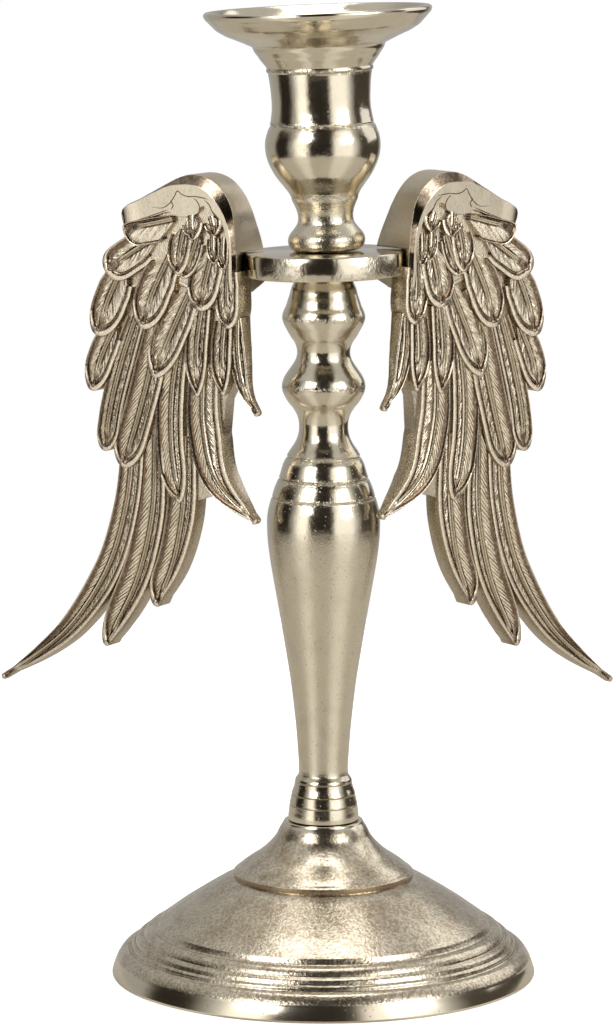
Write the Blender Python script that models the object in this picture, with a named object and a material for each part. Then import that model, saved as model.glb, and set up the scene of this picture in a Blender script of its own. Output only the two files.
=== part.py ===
"""Candlestick with a wide drip pan, a ring below the cup, two feathered wings and a round cast foot.

Metres, +Z up, the front faces -Y. All lengths in the tables are in millimetres.
The wings hang in slots on the ring's edge; each is held by a pin driven in from the back.
"""
import math

import bmesh
import bpy
from mathutils import Matrix, Vector

MM = 0.001

# Driving sizes, in millimetres.
FIT_GAP = 0.3              # between pieces that touch or are fastened
FOOT_RADIUS = 55.3         # over the foot's rounded band
BASE_TOP = 40.4            # seat of the stem on the base
BASE_CEILING = 32.5        # flat under the top of the base, where the washer bears
STEM_TOP = 182.6           # seat of the ring
RING_RADIUS = 20.4
RING_THICKNESS = 6.2
RING_SHIFT = 0.3           # the ring sits a little to +X of the stem
RING_LEAN = 1.2            # degrees, its top toward -X
CUP_SHIFT = 0.84
CUP_LEAN = 2.3
CUP_SEAT = STEM_TOP + FIT_GAP + RING_THICKNESS   # top of the ring; the cup's heights count from it
SOCKET_RADIUS = 11.0       # candle socket
SOCKET_FLOOR = 30.9
ROD_RADIUS = 2.0           # top stud and base rod
ROD_HOLE_RADIUS = ROD_RADIUS + FIT_GAP
STUD_HOLE_RADIUS = ROD_RADIUS + 0.45
TOP_STUD_DEPTH = 9.0       # into the stem and into the cup
BASE_ROD_BOTTOM = 25.6
BASE_ROD_TOP = 52.4
WASHER_RADIUS = 7.0
WASHER_THICKNESS = 1.2
NUT_ACROSS_FLATS = 7.0
NUT_THICKNESS = 3.2
PIN_RADIUS = 1.0
PIN_HOLE_RADIUS = PIN_RADIUS + FIT_GAP

# Where the wings stand: swept back by this angle from the X axis.
SWEEP = 31.0
FACE_AHEAD = 16.2          # front face of a wing, ahead of the plane through the axis
TABLE_START = RING_RADIUS - 5.4   # the tables' u = 0, outward from the axis
TABLE_LEVEL = STEM_TOP + 4.4      # the tables' v = 0
PLATE = 6.0                # thickness of the feathered part
LUG_OUT = RING_RADIUS + 3.6       # end of the ring's lug, from the axis
LUG_LOW = 0.6              # the lug's sides, ahead of the plane through the axis
LUG_HIGH = 8.6
SLOT_AHEAD = 10.9          # front end of the slot that takes the ring's edge
PIN_OUT = RING_RADIUS + 0.5
PIN_START = -1.4           # the pin's ends, ahead of the plane through the axis
PIN_END = 13.6
# The right wing was pinned a little further in and higher, and hangs turned about its seat.
RIGHT_IN = 1.3
RIGHT_UP = 1.1
RIGHT_TURN = 2.3           # degrees, tip toward the column
STEM_CLEARANCE = 0.7       # relief behind the hooked tips, where they pass the stem's widest part
RELIEF_TOP = -47.0         # the relief's ends, as heights in the tables
RELIEF_BOTTOM = -87.0

# Turned profiles as (radius, height), from the top down.
BASE_OUTSIDE = [
    (10.2, BASE_TOP), (10.9, 39.4), (11.6, 37.9), (12.4, 36.3), (14.4, 33.9),
    (16.6, 31.9), (19.4, 30.0), (21.8, 28.2), (23.2, 26.9), (23.4, 25.9),
    (24.0, 25.4), (26.4, 24.5), (32.4, 20.9), (38.2, 17.1), (43.0, 13.5),
    (43.9, 12.0), (44.8, 12.1), (46.6, 11.1), (47.2, 9.9), (47.9, 10.0),
    (49.1, 8.5), (49.6, 8.5), (50.3, 6.9), (51.1, 7.1), (53.1, 6.1),
    (54.6, 4.8), (FOOT_RADIUS, 3.6), (54.9, 0.0)]
BASE_INSIDE = [
    (51.4, 0.0), (50.2, 4.0), (46.6, 7.8), (41.5, 11.6), (31.4, 17.9),
    (23.6, 21.9), (19.5, 26.0), (14.0, 29.6), (9.2, BASE_CEILING),
    (ROD_HOLE_RADIUS, BASE_CEILING)]
STEM_OUTSIDE = [
    (7.3, STEM_TOP), (7.7, 181.1), (8.7, 178.0), (9.7, 174.9), (10.5, 173.3),
    (10.6, 171.6), (9.4, 168.7), (7.5, 165.6), (6.85, 163.0), (7.3, 161.0),
    (8.5, 159.4), (10.3, 156.4), (10.7, 154.1), (9.9, 151.7), (7.9, 148.6),
    (6.4, 145.4), (6.4, 142.4), (7.6, 139.2), (9.5, 136.2), (9.5, 135.7),
    (11.5, 130.6), (11.5, 130.1), (13.4, 125.5), (13.4, 125.1), (14.3, 121.9),
    (14.6, 118.8), (14.5, 114.1), (13.9, 109.4), (12.8, 103.1), (10.6, 90.5),
    (8.6, 77.9), (7.2, 65.2), (6.4, 54.0), (6.5, 52.3), (7.45, 51.0),
    (7.2, 50.7), (7.7, 50.2), (8.3, 47.7), (7.9, 47.4), (8.4, 47.0),
    (8.85, 44.9), (8.5, 44.6), (8.95, 44.2), (9.2, BASE_TOP + FIT_GAP)]
# The cup's heights count from the ring's top.
CUP_OUTSIDE = [
    (28.3, 61.9), (29.0, 61.6), (29.2, 60.9), (28.2, 59.5), (26.0, 57.2),
    (23.5, 55.6), (19.9, 54.1), (17.1, 52.7), (16.7, 51.8), (15.4, 49.9),
    (13.6, 47.5), (13.2, 46.5), (13.3, 45.9), (12.75, 41.2), (12.6, 38.1),
    (12.9, 35.0), (13.2, 33.3), (13.7, 32.0), (14.7, 29.1), (14.7, 25.9),
    (13.9, 22.8), (12.4, 19.7), (9.6, 15.8), (8.6, 13.8), (7.1, 9.5),
    (7.3, 7.4), (9.5, 4.5), (9.9, 2.8), (9.3, 1.2), (8.2, FIT_GAP)]
CUP_INSIDE = [
    (SOCKET_RADIUS, SOCKET_FLOOR), (SOCKET_RADIUS, 53.7), (11.5, 54.4),
    (16.0, 55.1), (20.0, 56.4), (23.8, 58.2), (26.0, 59.8), (27.4, 61.4)]

# One feather a row: name, spine from root to tip as (out, up), then for its outer and inner half
# (width, where the tip starts, how full the tip is), the width at the root, and the height of its rim.
FEATHERS = [
    ('primary_1', [(32.7, -44), (35.0, -65), (40.1, -81), (46.5, -91.5), (53.5, -99.8),
                   (61.5, -106.3), (73.3, -114.1)], (3.9, 0.5, 1.0), (3.9, 0.5, 1.1), 0.9, 6.0),
    ('primary_2', [(26.2, -46), (27.2, -68), (31.4, -84), (41.2, -102.8)],
     (5.2, 0.72, 2.0), (3.5, 0.55, 1.6), 0.8, 6.15),
    ('primary_3', [(17.4, -46), (18.2, -67), (21, -80), (26, -91.2)],
     (5.0, 0.8, 2.0), (3.7, 0.45, 1.3), 0.9, 6.05),
    ('outer_long', [(31, -14), (36, -28), (39.2, -40), (40.9, -51.2)],
     (3.2, 0.86, 2.0), (3.6, 0.82, 2.0), 0.8, 6.45),
    ('middle_long', [(24.5, -14), (27, -28), (30.6, -41), (35.2, -55.2)],
     (4.9, 0.84, 2.0), (4.3, 0.8, 2.0), 0.7, 6.6),
    ('inner_long', [(18.3, -20), (20.8, -35), (20.9, -48), (18.5, -63.4)],
     (4.8, 0.75, 1.8), (3.6, 0.75, 1.8), 0.8, 6.5),
    ('hooked_long', [(11.3, -26), (11.5, -43), (8.0, -56), (-4.2, -67.2)],
     (4.8, 0.5, 1.3), (4.8, 0.45, 1.2), 0.9, 6.65),
    ('inner_point', [(1.6, -13), (1.0, -26), (-0.7, -33), (-4.7, -39.4)],
     (2.6, 0.5, 1.3), (2.1, 0.5, 1.2), 0.9, 6.5),
    ('outer_short', [(37.5, -18), (41.6, -26.5), (44.4, -35.5)],
     (4.2, 0.55, 2.0), (3.9, 0.55, 2.0), 0.8, 7.0),
    ('long_covert', [(14.5, -7), (20.4, -19), (25.7, -31)],
     (5.2, 0.6, 1.9), (4.5, 0.6, 1.9), 0.7, 7.1),
    ('slim_covert', [(11.4, -10), (13.1, -22), (12.9, -35.4)],
     (3.7, 0.6, 1.6), (3.2, 0.6, 1.6), 0.8, 6.95),
    ('inner_covert', [(4.8, -13), (5.6, -24), (5.2, -34.6)],
     (3.6, 0.6, 1.6), (2.6, 0.6, 1.6), 0.8, 7.05),
    ('edge_covert', [(34.6, -2), (39.0, -11), (42.6, -20.9)],
     (4.5, 0.55, 2.2), (5.6, 0.55, 2.0), 0.7, 7.3),
    ('mid_covert', [(20.8, 1), (25.6, -8.5), (29.2, -18.4)],
     (5.2, 0.55, 2.1), (5.2, 0.55, 2.1), 0.7, 7.4),
    ('tongue', [(3.7, 0), (4.0, -9), (3.4, -17.3)],
     (3.6, 0.6, 2.1), (3.4, 0.6, 2.1), 0.7, 7.35),
    ('tip_covert', [(25, 5.3), (32.2, 0.9), (39.7, -4.0)],
     (4.5, 0.7, 2.5), (5.1, 0.65, 2.4), 0.7, 7.7),
    ('centre_covert', [(7.8, 3.5), (9.9, -4.5), (11.9, -13)],
     (5.2, 0.6, 2.1), (4.3, 0.6, 2.1), 0.7, 7.65),
    ('side_covert', [(12.4, 6.5), (14.2, 1), (16.8, -5)],
     (2.7, 0.6, 1.8), (2.7, 0.6, 1.8), 0.8, 7.7),
    ('upper_covert', [(16.2, 8.5), (17.5, 2.8), (18.1, -4.0)],
     (3.8, 0.5, 2.0), (3.1, 0.5, 2.0), 0.8, 7.8),
    ('small_covert', [(7.9, 7), (7.7, 3), (7.1, -0.8)],
     (2.0, 0.5, 2.0), (1.8, 0.5, 2.0), 0.9, 8.0),
    ('root_covert', [(5.0, 6), (5.0, 2), (4.6, -2.2)],
     (2.0, 0.5, 2.0), (1.6, 0.5, 2.0), 0.9, 7.9),
    ('crown_covert', [(14.2, 11.5), (14.0, 9), (13.4, 5.0)],
     (3.4, 0.3, 2.0), (3.2, 0.3, 2.0), 0.9, 8.0),
    ('root_patch', [(8.4, 11.5), (7.7, 9.3), (7.2, 6.4)],
     (2.8, 0.4, 2.0), (2.4, 0.4, 2.0), 0.9, 8.05),
    ('top_covert', [(19.6, 10.2), (26.5, 8.7), (34.1, 7.2)],
     (1.5, 0.75, 3.0), (5.2, 0.7, 2.2), 0.6, 8.15),
]
# Feathers that thin out toward a sharp tip: over what length, and how far the back comes forward.
POINTED = {'primary_1': (16.0, 4.2), 'hooked_long': (13.0, 4.4), 'inner_point': (9.0, 4.2)}
# Outline of the web that fills the places between the feathers, as (out, up).
WEB = [
    (4, 4), (1.5, -10), (1.2, -28), (5.5, -36), (6.5, -46), (6, -54), (9, -61), (15, -63),
    (16.5, -72), (21, -83), (25, -86), (29, -86), (33, -91), (37.5, -96), (38, -88),
    (37.5, -79), (35.2, -68), (33.5, -57), (38.5, -50), (41, -42), (42, -34), (42.5, -20),
    (40.5, -8), (36, 1.5), (30, 8), (12, 8)]
WEB_FACE = 4.7
# Shoulder: outer line of its bevel, edge of the smooth band inside it and the band's inner edge, as
# (out, up), and how far the piece goes back from the front face there.
SHOULDER = [
    ((1.6, -8.5), (2.2, -8.3), (3.0, -7.8), 8.5), ((1.8, -4.6), (2.5, -4.5), (3.3, -4.3), 17.0),
    ((1.8, 0), (2.5, 0), (3.4, 0), 15.5), ((2.0, 4.5), (2.8, 4.3), (3.8, 4.0), 14.0),
    ((2.4, 9), (3.6, 8.5), (4.6, 8.0), 12.0), ((3.0, 13), (5.0, 12.0), (6.2, 10.8), 10.4),
    ((4.7, 16.6), (7.2, 15.0), (8.8, 13.2), 9.8), ((8.0, 19.9), (9.6, 17.3), (11.2, 13.8), 9.8),
    ((11.5, 21.4), (12.0, 18.6), (12.6, 11.9), 9.8), ((15, 21.7), (15, 19.1), (15.2, 11.1), 9.2),
    ((18.5, 20.8), (17.9, 19.0), (18.2, 11.0), 8.6),
    ((21.5, 19.4), (21.2, 18.5), (20.6, 12.0), 8.2),
    ((25, 17.6), (24.8, 17.0), (24.5, 11.0), 7.8), ((30, 15), (29.8, 14.6), (29, 9.6), 7.2),
    ((35, 12.3), (34.7, 12.0), (34.0, 7.6), 6.5)]
# The rest of its outline, under the feathers.
SHOULDER_REST = [((33.4, 4.5), 6.3), ((28, -1.5), 6.3), ((18, -7), 7.0), ((9, -10), 8.0)]
SHOULDER_CENTRE = (11.5, 3.0)
SHOULDER_CENTRE_DEPTH = 12.5
SHOULDER_FLOOR = 5.7       # height of the bevel's outer line and of the floor under the feathers
SHOULDER_FLAT = 7.0
RIM = 0.7                  # width of the smooth rim round a feather's tip
BEVEL = 0.8                # width of the slope inside the rim
SUNK = 0.8                 # depth of the vane's edge below the rim
RACHIS = 0.25              # height of the rib over the rim
ROOT_SINK = 1.0            # roots lie lower, under the row above


def clear_scene():
    """Empty the file."""
    for item in list(bpy.data.objects):
        bpy.data.objects.remove(item, do_unlink=True)
    for mesh in list(bpy.data.meshes):
        bpy.data.meshes.remove(mesh)


def metal(name, colour, roughness):
    """A plain metal look for one piece."""
    material = bpy.data.materials.new(name)
    material.use_nodes = True
    shader = material.node_tree.nodes['Principled BSDF']
    shader.inputs['Base Color'].default_value = (*colour, 1.0)
    shader.inputs['Metallic'].default_value = 1.0
    shader.inputs['Roughness'].default_value = roughness
    material.diffuse_color = (*colour, 1.0)
    return material


def add_object(name, mesh):
    """Link a mesh to the scene as a named object."""
    piece = bpy.data.objects.new(name, mesh)
    bpy.context.collection.objects.link(piece)
    return piece


def mesh_from(name, vertices, faces):
    """Build an object from vertices in millimetres and faces that look outward."""
    mesh = bpy.data.meshes.new(name)
    mesh.from_pydata([Vector(v) * MM for v in vertices], [], faces)
    mesh.update()
    body = bmesh.new()
    body.from_mesh(mesh)
    bmesh.ops.recalc_face_normals(body, faces=body.faces)
    if body.calc_volume(signed=True) < 0:
        bmesh.ops.reverse_faces(body, faces=body.faces)
    body.to_mesh(mesh)
    body.free()
    return add_object(name, mesh)


def turned(name, profile, segments):
    """Turn a closed (radius, height) outline about Z; zero radii close it on the axis."""
    vertices = []
    rings = []
    for radius, height in profile:
        if radius < 1e-6:
            vertices.append((0.0, 0.0, height))
            rings.append([len(vertices) - 1] * segments)
            continue
        ring = []
        for step in range(segments):
            angle = math.tau * step / segments
            vertices.append((radius * math.cos(angle), radius * math.sin(angle), height))
            ring.append(len(vertices) - 1)
        rings.append(ring)
    faces = []
    count = len(rings)
    for index in range(count):
        first = rings[index]
        second = rings[(index + 1) % count]
        for step in range(segments):
            after = (step + 1) % segments
            corners = []
            for corner in (first[step], first[after], second[after], second[step]):
                if corner not in corners:
                    corners.append(corner)
            if len(corners) > 2:
                faces.append(corners)
    return mesh_from(name, vertices, faces)


def rod(name, radius, low, high, segments=24):
    """A plain round bar on the Z axis."""
    return turned(name, [(0, high), (radius, high), (radius, low), (0, low)], segments)


def block(name, low, high):
    """A box between two corners in millimetres."""
    x0, y0, z0 = low
    x1, y1, z1 = high
    vertices = [(x, y, z) for z in (z0, z1) for x, y in ((x0, y0), (x1, y0), (x1, y1), (x0, y1))]
    faces = [(0, 3, 2, 1), (4, 5, 6, 7), (0, 1, 5, 4), (1, 2, 6, 5), (2, 3, 7, 6), (3, 0, 4, 7)]
    return mesh_from(name, vertices, faces)


def place(piece, matrix):
    """Move a piece's own points, so that its object stays at the origin."""
    piece.data.transform(matrix)
    if matrix.determinant() < 0:
        piece.data.flip_normals()
    piece.data.update()


def combine(piece, other, operation):
    """Join, cut or keep the common part of two bodies, then drop the second."""
    other.hide_render = True
    other.display_type = 'WIRE'
    modifier = piece.modifiers.new(operation, 'BOOLEAN')
    modifier.operation = operation
    modifier.solver = 'EXACT'
    modifier.object = other
    graph = bpy.context.evaluated_depsgraph_get()
    result = bpy.data.meshes.new_from_object(piece.evaluated_get(graph))
    piece.modifiers.clear()
    old = piece.data
    piece.data = result
    bpy.data.meshes.remove(old)
    spare = other.data
    bpy.data.objects.remove(other, do_unlink=True)
    bpy.data.meshes.remove(spare)


def tidy(piece, angle=0.6):
    """Weld specks left by the Booleans and drop needless edges."""
    body = bmesh.new()
    body.from_mesh(piece.data)
    bmesh.ops.remove_doubles(body, verts=body.verts, dist=0.000004)
    bmesh.ops.dissolve_degenerate(body, edges=body.edges, dist=0.000004)
    bmesh.ops.dissolve_limit(body, angle_limit=math.radians(angle), verts=body.verts,
                             edges=body.edges)
    bmesh.ops.triangulate(body, faces=body.faces, quad_method='BEAUTY', ngon_method='BEAUTY')
    bmesh.ops.dissolve_degenerate(body, edges=body.edges, dist=0.000004)
    loose = [v for v in body.verts if not v.link_faces]
    bmesh.ops.delete(body, geom=loose, context='VERTS')
    body.to_mesh(piece.data)
    body.free()


def finish(piece, material, sharp):
    """Give a piece its material and its shading."""
    piece.data.materials.clear()
    piece.data.materials.append(material)
    piece.data.shade_smooth()
    piece.data.set_sharp_from_angle(angle=math.radians(sharp))


def ring_frame():
    """From the ring's own frame, with z = 0 at its underside, to the world in metres."""
    move = Matrix.Translation(Vector((RING_SHIFT, 0, STEM_TOP + FIT_GAP)) * MM)
    return move @ Matrix.Rotation(math.radians(-RING_LEAN), 4, 'Y')


def cup_frame():
    """From the cup's upright drawing to its leaning place."""
    move = Matrix.Translation(Vector((CUP_SHIFT, 0, CUP_SEAT)) * MM)
    return move @ Matrix.Rotation(math.radians(-CUP_LEAN), 4, 'Y')


def wing_frame(side):
    """From (out, ahead, up) about the axis to the world, for the right (+1) or left (-1) wing."""
    sweep = math.radians(SWEEP)
    out = Vector((side * math.cos(sweep), math.sin(sweep), 0))
    ahead = Vector((side * math.sin(sweep), -math.cos(sweep), 0))
    return Matrix((out, ahead, Vector((0, 0, 1)))).transposed().to_4x4()


def in_ring(side):
    """From (out, ahead, up) in the ring's frame to the world."""
    return ring_frame() @ wing_frame(side)


def make_base():
    """The hollow cast foot with its stepped top."""
    profile = [(ROD_HOLE_RADIUS, BASE_TOP)] + BASE_OUTSIDE + BASE_INSIDE
    return turned('base', profile, 40)


def make_stem():
    """The turned column with blind holes for the rods at both ends."""
    low = BASE_TOP + FIT_GAP
    stem = turned('stem', [(0, STEM_TOP)] + STEM_OUTSIDE + [(0, low)], 30)
    combine(stem, rod('rod_hole', ROD_HOLE_RADIUS, low - 5, BASE_ROD_TOP + FIT_GAP, 16), 'DIFFERENCE')
    hole = rod('stud_hole', STUD_HOLE_RADIUS, -TOP_STUD_DEPTH - FIT_GAP, 5, 16)
    place(hole, ring_frame())
    combine(stem, hole, 'DIFFERENCE')
    return stem


def make_ring():
    """The disc under the cup, with a lug for each wing and a hole for the stud."""
    top = RING_THICKNESS
    edge = 0.5
    ring = turned('wing_ring', [
        (0, top), (RING_RADIUS - edge, top), (RING_RADIUS, top - edge),
        (RING_RADIUS, edge), (RING_RADIUS - edge, 0), (0, 0)], 56)
    place(ring, ring_frame())
    for side in (1, -1):
        lug = block('lug', (10, LUG_LOW, 0.05), (LUG_OUT, LUG_HIGH, top - 0.05))
        place(lug, in_ring(side))
        combine(ring, lug, 'UNION')
        hole = rod('pin_hole', PIN_HOLE_RADIUS, -5, 14, 12)
        place(hole, in_ring(side) @ pin_turn())
        combine(ring, hole, 'DIFFERENCE')
    hole = rod('stud_hole', STUD_HOLE_RADIUS, -5, top + 5, 16)
    place(hole, ring_frame())
    combine(ring, hole, 'DIFFERENCE')
    tidy(ring)
    return ring


def pin_turn():
    """Turn a bar on Z so that it runs ahead, at the pins' place halfway up the ring."""
    move = Matrix.Translation(Vector((PIN_OUT, 0, RING_THICKNESS / 2)) * MM)
    return move @ Matrix.Rotation(math.radians(-90), 4, 'X')


def make_cup():
    """The candle cup: knob, bulb, socket and drip pan in one piece."""
    cup = turned('candle_cup', CUP_OUTSIDE + [(0, FIT_GAP), (0, SOCKET_FLOOR)] + CUP_INSIDE, 32)
    place(cup, cup_frame())
    hole = rod('stud_hole', STUD_HOLE_RADIUS, 0, RING_THICKNESS + TOP_STUD_DEPTH + 2 * FIT_GAP, 16)
    place(hole, ring_frame())
    combine(cup, hole, 'DIFFERENCE')
    tidy(cup, 0.2)
    return cup


def curve_point(points, share):
    """A smooth curve through the points; share runs from 0 to 1 along its chords."""
    reach = [0.0]
    for first, second in zip(points, points[1:]):
        reach.append(reach[-1] + math.dist(first, second))
    goal = share * reach[-1]
    part = 0
    while part < len(points) - 2 and reach[part + 1] < goal:
        part += 1
    span = reach[part + 1] - reach[part]
    x = (goal - reach[part]) / span
    slopes = []
    for index in (part, part + 1):
        if index == 0 or index == len(points) - 1:
            near = max(index - 1, 0)
            far = min(index + 1, len(points) - 1)
            gap = reach[far] - reach[near]
            slopes.append([(points[far][k] - points[near][k]) / gap for k in (0, 1)])
            continue
        before = reach[index] - reach[index - 1]
        after = reach[index + 1] - reach[index]
        slope = []
        for k in (0, 1):
            back = (points[index][k] - points[index - 1][k]) / before
            fore = (points[index + 1][k] - points[index][k]) / after
            slope.append((back * after + fore * before) / (before + after))
        slopes.append(slope)
    result = []
    for k in (0, 1):
        result.append((2 * x ** 3 - 3 * x ** 2 + 1) * points[part][k]
                      + (x ** 3 - 2 * x ** 2 + x) * span * slopes[0][k]
                      + (3 * x ** 2 - 2 * x ** 3) * points[part + 1][k]
                      + (x ** 3 - x ** 2) * span * slopes[1][k])
    return result


def half_width(half, share, root):
    """Width of one half of a feather at a share of its length."""
    width, start, power = half
    width *= root + (1 - root) * min(1.0, share / 0.35)
    if share > start:
        rest = (share - start) / (1 - start)
        width *= max(0.0, 1 - rest ** power) ** (1 / power)
    return width


def table_point(out, up, face, hang):
    """A point of the tables with its height over the plate's back, as (out, ahead, up)."""
    turn = math.radians(RIGHT_TURN) if hang else 0.0
    u = out * math.cos(turn) + up * math.sin(turn)
    v = up * math.cos(turn) - out * math.sin(turn)
    if hang:
        u -= RIGHT_IN
        v += RIGHT_UP
    return (TABLE_START + u, FACE_AHEAD - PLATE + face, TABLE_LEVEL + v)


def make_feather(row, order, hang):
    """One feather: a smooth rim, a slope, a vane that rises to a rib; its back is cut later."""
    name, spine, outer, inner, root, top = row
    length = sum(math.dist(a, b) for a, b in zip(spine, spine[1:]))
    middle = 5 if length > 60 else (4 if length > 30 else 2)
    shares = [index / middle * (1 - 3.2 / length) for index in range(middle + 1)]
    shares += [1 - 1.7 / length, 1 - 0.8 / length, 1 - 0.1 / length]
    across = 7
    vertices = []
    for place_on, share in enumerate(shares):
        centre = curve_point(spine, share)
        near = curve_point(spine, max(0.0, share - 0.002))
        far = curve_point(spine, min(1.0, share + 0.002))
        run = math.dist(near, far)
        side = (-(far[1] - near[1]) / run, (far[0] - near[0]) / run)
        widths = (half_width(outer, share, root), half_width(inner, share, root))
        rim_height = top - ROOT_SINK * (1 - share)
        flat = place_on >= len(shares) - 2
        for index in range(across):
            half = widths[0] if index < 3 else widths[1]
            step = min(index, across - 1 - index, 2)
            inset = min((0.0, RIM, RIM + BEVEL)[step], half * (0.0, 0.35, 0.62)[step])
            offset = half - inset
            height = rim_height
            if index == 3:
                offset = 0.0
                height += RACHIS
            if index in (2, 4):
                height -= SUNK * (0.45 + 0.55 * share)
            if flat:
                height = rim_height + (0.0 if place_on == len(shares) - 2 else -0.25)
            if index > 3:
                offset = -offset
            vertices.append(table_point(centre[0] + side[0] * offset,
                                        centre[1] + side[1] * offset, height, hang))
        back = -0.5 - 0.03 * order
        if name in POINTED:
            reach, lift = POINTED[name]
            back += max(0.0, 1 - length * (1 - share) / reach) * (lift + 0.5)
        for half in (widths[0], -widths[1]):
            vertices.append(table_point(centre[0] + side[0] * half * 0.96,
                                        centre[1] + side[1] * half * 0.96, back, hang))
    size = across + 2
    faces = []
    for index in range(len(shares) - 1):
        a = index * size
        b = a + size
        for k in range(across - 1):
            faces.append((a + k, a + k + 1, b + k + 1, b + k))
        faces.append((a + across - 1, a + across + 1, b + across + 1, b + across - 1))
        faces.append((a + across + 1, a + across, b + across, b + across + 1))
        faces.append((a + across, a, b, b + across))
    loop = list(range(across)) + [across + 1, across]
    faces.append(loop)
    last = (len(shares) - 1) * size
    faces.append([last + index for index in reversed(loop)])
    return mesh_from(name, vertices, faces)


def make_web(hang):
    """The thinner plate between the feathers."""
    count = len(WEB)
    vertices = [table_point(u, v, -1.6, hang) for u, v in WEB]
    vertices += [table_point(u, v, WEB_FACE, hang) for u, v in WEB]
    faces = [list(range(count)), list(range(2 * count - 1, count - 1, -1))]
    for index in range(count):
        after = (index + 1) % count
        faces.append((index, after, count + after, count + index))
    return mesh_from('web', vertices, faces)


def make_shoulder(hang):
    """The bevelled shoulder with its smooth band, the floor under the feathers and the thick boss."""
    band = len(SHOULDER)
    outline = [(row[0], row[3]) for row in SHOULDER] + SHOULDER_REST
    count = len(outline)
    back = [table_point(*place_on, PLATE - depth, hang) for place_on, depth in outline]
    line = [table_point(*place_on, SHOULDER_FLOOR, hang) for place_on, depth in outline]
    outer = [table_point(*row[1], SHOULDER_FLAT, hang) for row in SHOULDER]
    inner = [table_point(*row[2], SHOULDER_FLAT, hang) for row in SHOULDER]
    floor = [table_point(*row[2], SHOULDER_FLOOR, hang) for row in SHOULDER]
    vertices = back + line + outer + inner + floor
    vertices.append(table_point(*SHOULDER_CENTRE, PLATE - SHOULDER_CENTRE_DEPTH, hang))
    centre = len(vertices) - 1
    rows = [count, 2 * count, 2 * count + band, 2 * count + 2 * band]
    faces = []
    for index in range(count):
        after = (index + 1) % count
        faces.append((index, after, centre))
        faces.append((index, after, count + after, count + index))
    for index in range(band - 1):
        for low, high in zip(rows, rows[1:]):
            faces.append((low + index, low + index + 1, high + index + 1, high + index))
    faces.append([low for low in rows])
    faces.append([low + band - 1 for low in rows])
    faces.append([rows[3] + index for index in range(band)]
                 + [count + index for index in range(band - 1, count)] + [count])
    return mesh_from('shoulder', vertices, faces)


def make_wing(name, side):
    """A feathered wing, slotted for the ring's edge and its lug and drilled for the pin."""
    hang = side > 0
    wing = make_web(hang)
    wing.name = name
    for order, row in enumerate(FEATHERS):
        combine(wing, make_feather(row, order, hang), 'UNION')
    back = FACE_AHEAD - PLATE
    combine(wing, block('back', (-60, back - 20, 0), (160, back, 300)), 'DIFFERENCE')
    combine(wing, make_shoulder(hang), 'UNION')
    place(wing, wing_frame(side))
    slot = block('slot', (2, -8, -FIT_GAP), (LUG_OUT + FIT_GAP, SLOT_AHEAD, RING_THICKNESS + FIT_GAP))
    place(slot, in_ring(side))
    combine(wing, slot, 'DIFFERENCE')
    seat = rod('seat', RING_RADIUS + FIT_GAP, -FIT_GAP, RING_THICKNESS + FIT_GAP, 56)
    place(seat, ring_frame())
    combine(wing, seat, 'DIFFERENCE')
    hole = rod('pin_hole', PIN_HOLE_RADIUS, -8, PIN_END + FIT_GAP, 12)
    place(hole, in_ring(side) @ pin_turn())
    combine(wing, hole, 'DIFFERENCE')
    widest = max(radius for radius, height in STEM_OUTSIDE)
    relief = rod('relief', widest + STEM_CLEARANCE, TABLE_LEVEL + RELIEF_BOTTOM,
                 TABLE_LEVEL + RELIEF_TOP, 48)
    combine(wing, relief, 'DIFFERENCE')
    tidy(wing, 3)
    return wing


def make_pin(name, side):
    """A short pin through the boss and the ring's lug."""
    pin = rod(name, PIN_RADIUS, PIN_START, PIN_END, 12)
    place(pin, in_ring(side) @ pin_turn())
    return pin


def make_fasteners():
    """The stud under the cup, and the rod, washer and nut under the base."""
    low = -TOP_STUD_DEPTH
    stud = rod('top_stud', ROD_RADIUS, low, RING_THICKNESS + TOP_STUD_DEPTH, 16)
    place(stud, ring_frame())
    base_rod = rod('base_rod', ROD_RADIUS, BASE_ROD_BOTTOM, BASE_ROD_TOP, 16)
    top = BASE_CEILING - FIT_GAP
    low = top - WASHER_THICKNESS
    washer = turned('base_washer', [
        (ROD_HOLE_RADIUS, top), (WASHER_RADIUS, top),
        (WASHER_RADIUS, low), (ROD_HOLE_RADIUS, low)], 20)
    top = low - FIT_GAP
    corner = NUT_ACROSS_FLATS / 2 / math.cos(math.radians(30))
    nut = turned('base_nut', [(0, top), (corner, top), (corner, top - NUT_THICKNESS),
                              (0, top - NUT_THICKNESS)], 6)
    hole = rod('nut_hole', ROD_HOLE_RADIUS, top - 10, top + 10, 16)
    combine(nut, hole, 'DIFFERENCE')
    return [stud, base_rod, washer, nut]


def build():
    """Make every piece and give it its metal."""
    clear_scene()
    nickel = (0.72, 0.68, 0.60)
    steel = (0.62, 0.61, 0.59)
    turned_pieces = [(make_base(), 0.34, 32), (make_stem(), 0.16, 38), (make_ring(), 0.14, 30),
                     (make_cup(), 0.14, 38)]
    for piece, roughness, sharp in turned_pieces:
        finish(piece, metal(piece.name + '_nickel', nickel, roughness), sharp)
    for name, side in (('wing_left', -1), ('wing_right', 1)):
        wing = make_wing(name, side)
        finish(wing, metal(name + '_nickel', nickel, 0.26), 24)
    for name, side in (('pin_left', -1), ('pin_right', 1)):
        finish(make_pin(name, side), metal(name + '_steel', steel, 0.3), 40)
    for piece in make_fasteners():
        finish(piece, metal(piece.name + '_steel', steel, 0.35), 40)


build()
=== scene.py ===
"""Winged candlestick: turned nickel column, ring, cup with a drip pan, cast foot and two feathered wings.

Laid out as an add-on; run as a script it dresses the loaded frame and sets up the stage.
"""
import math

import bpy
import numpy as np
from mathutils import Matrix, Vector


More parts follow.
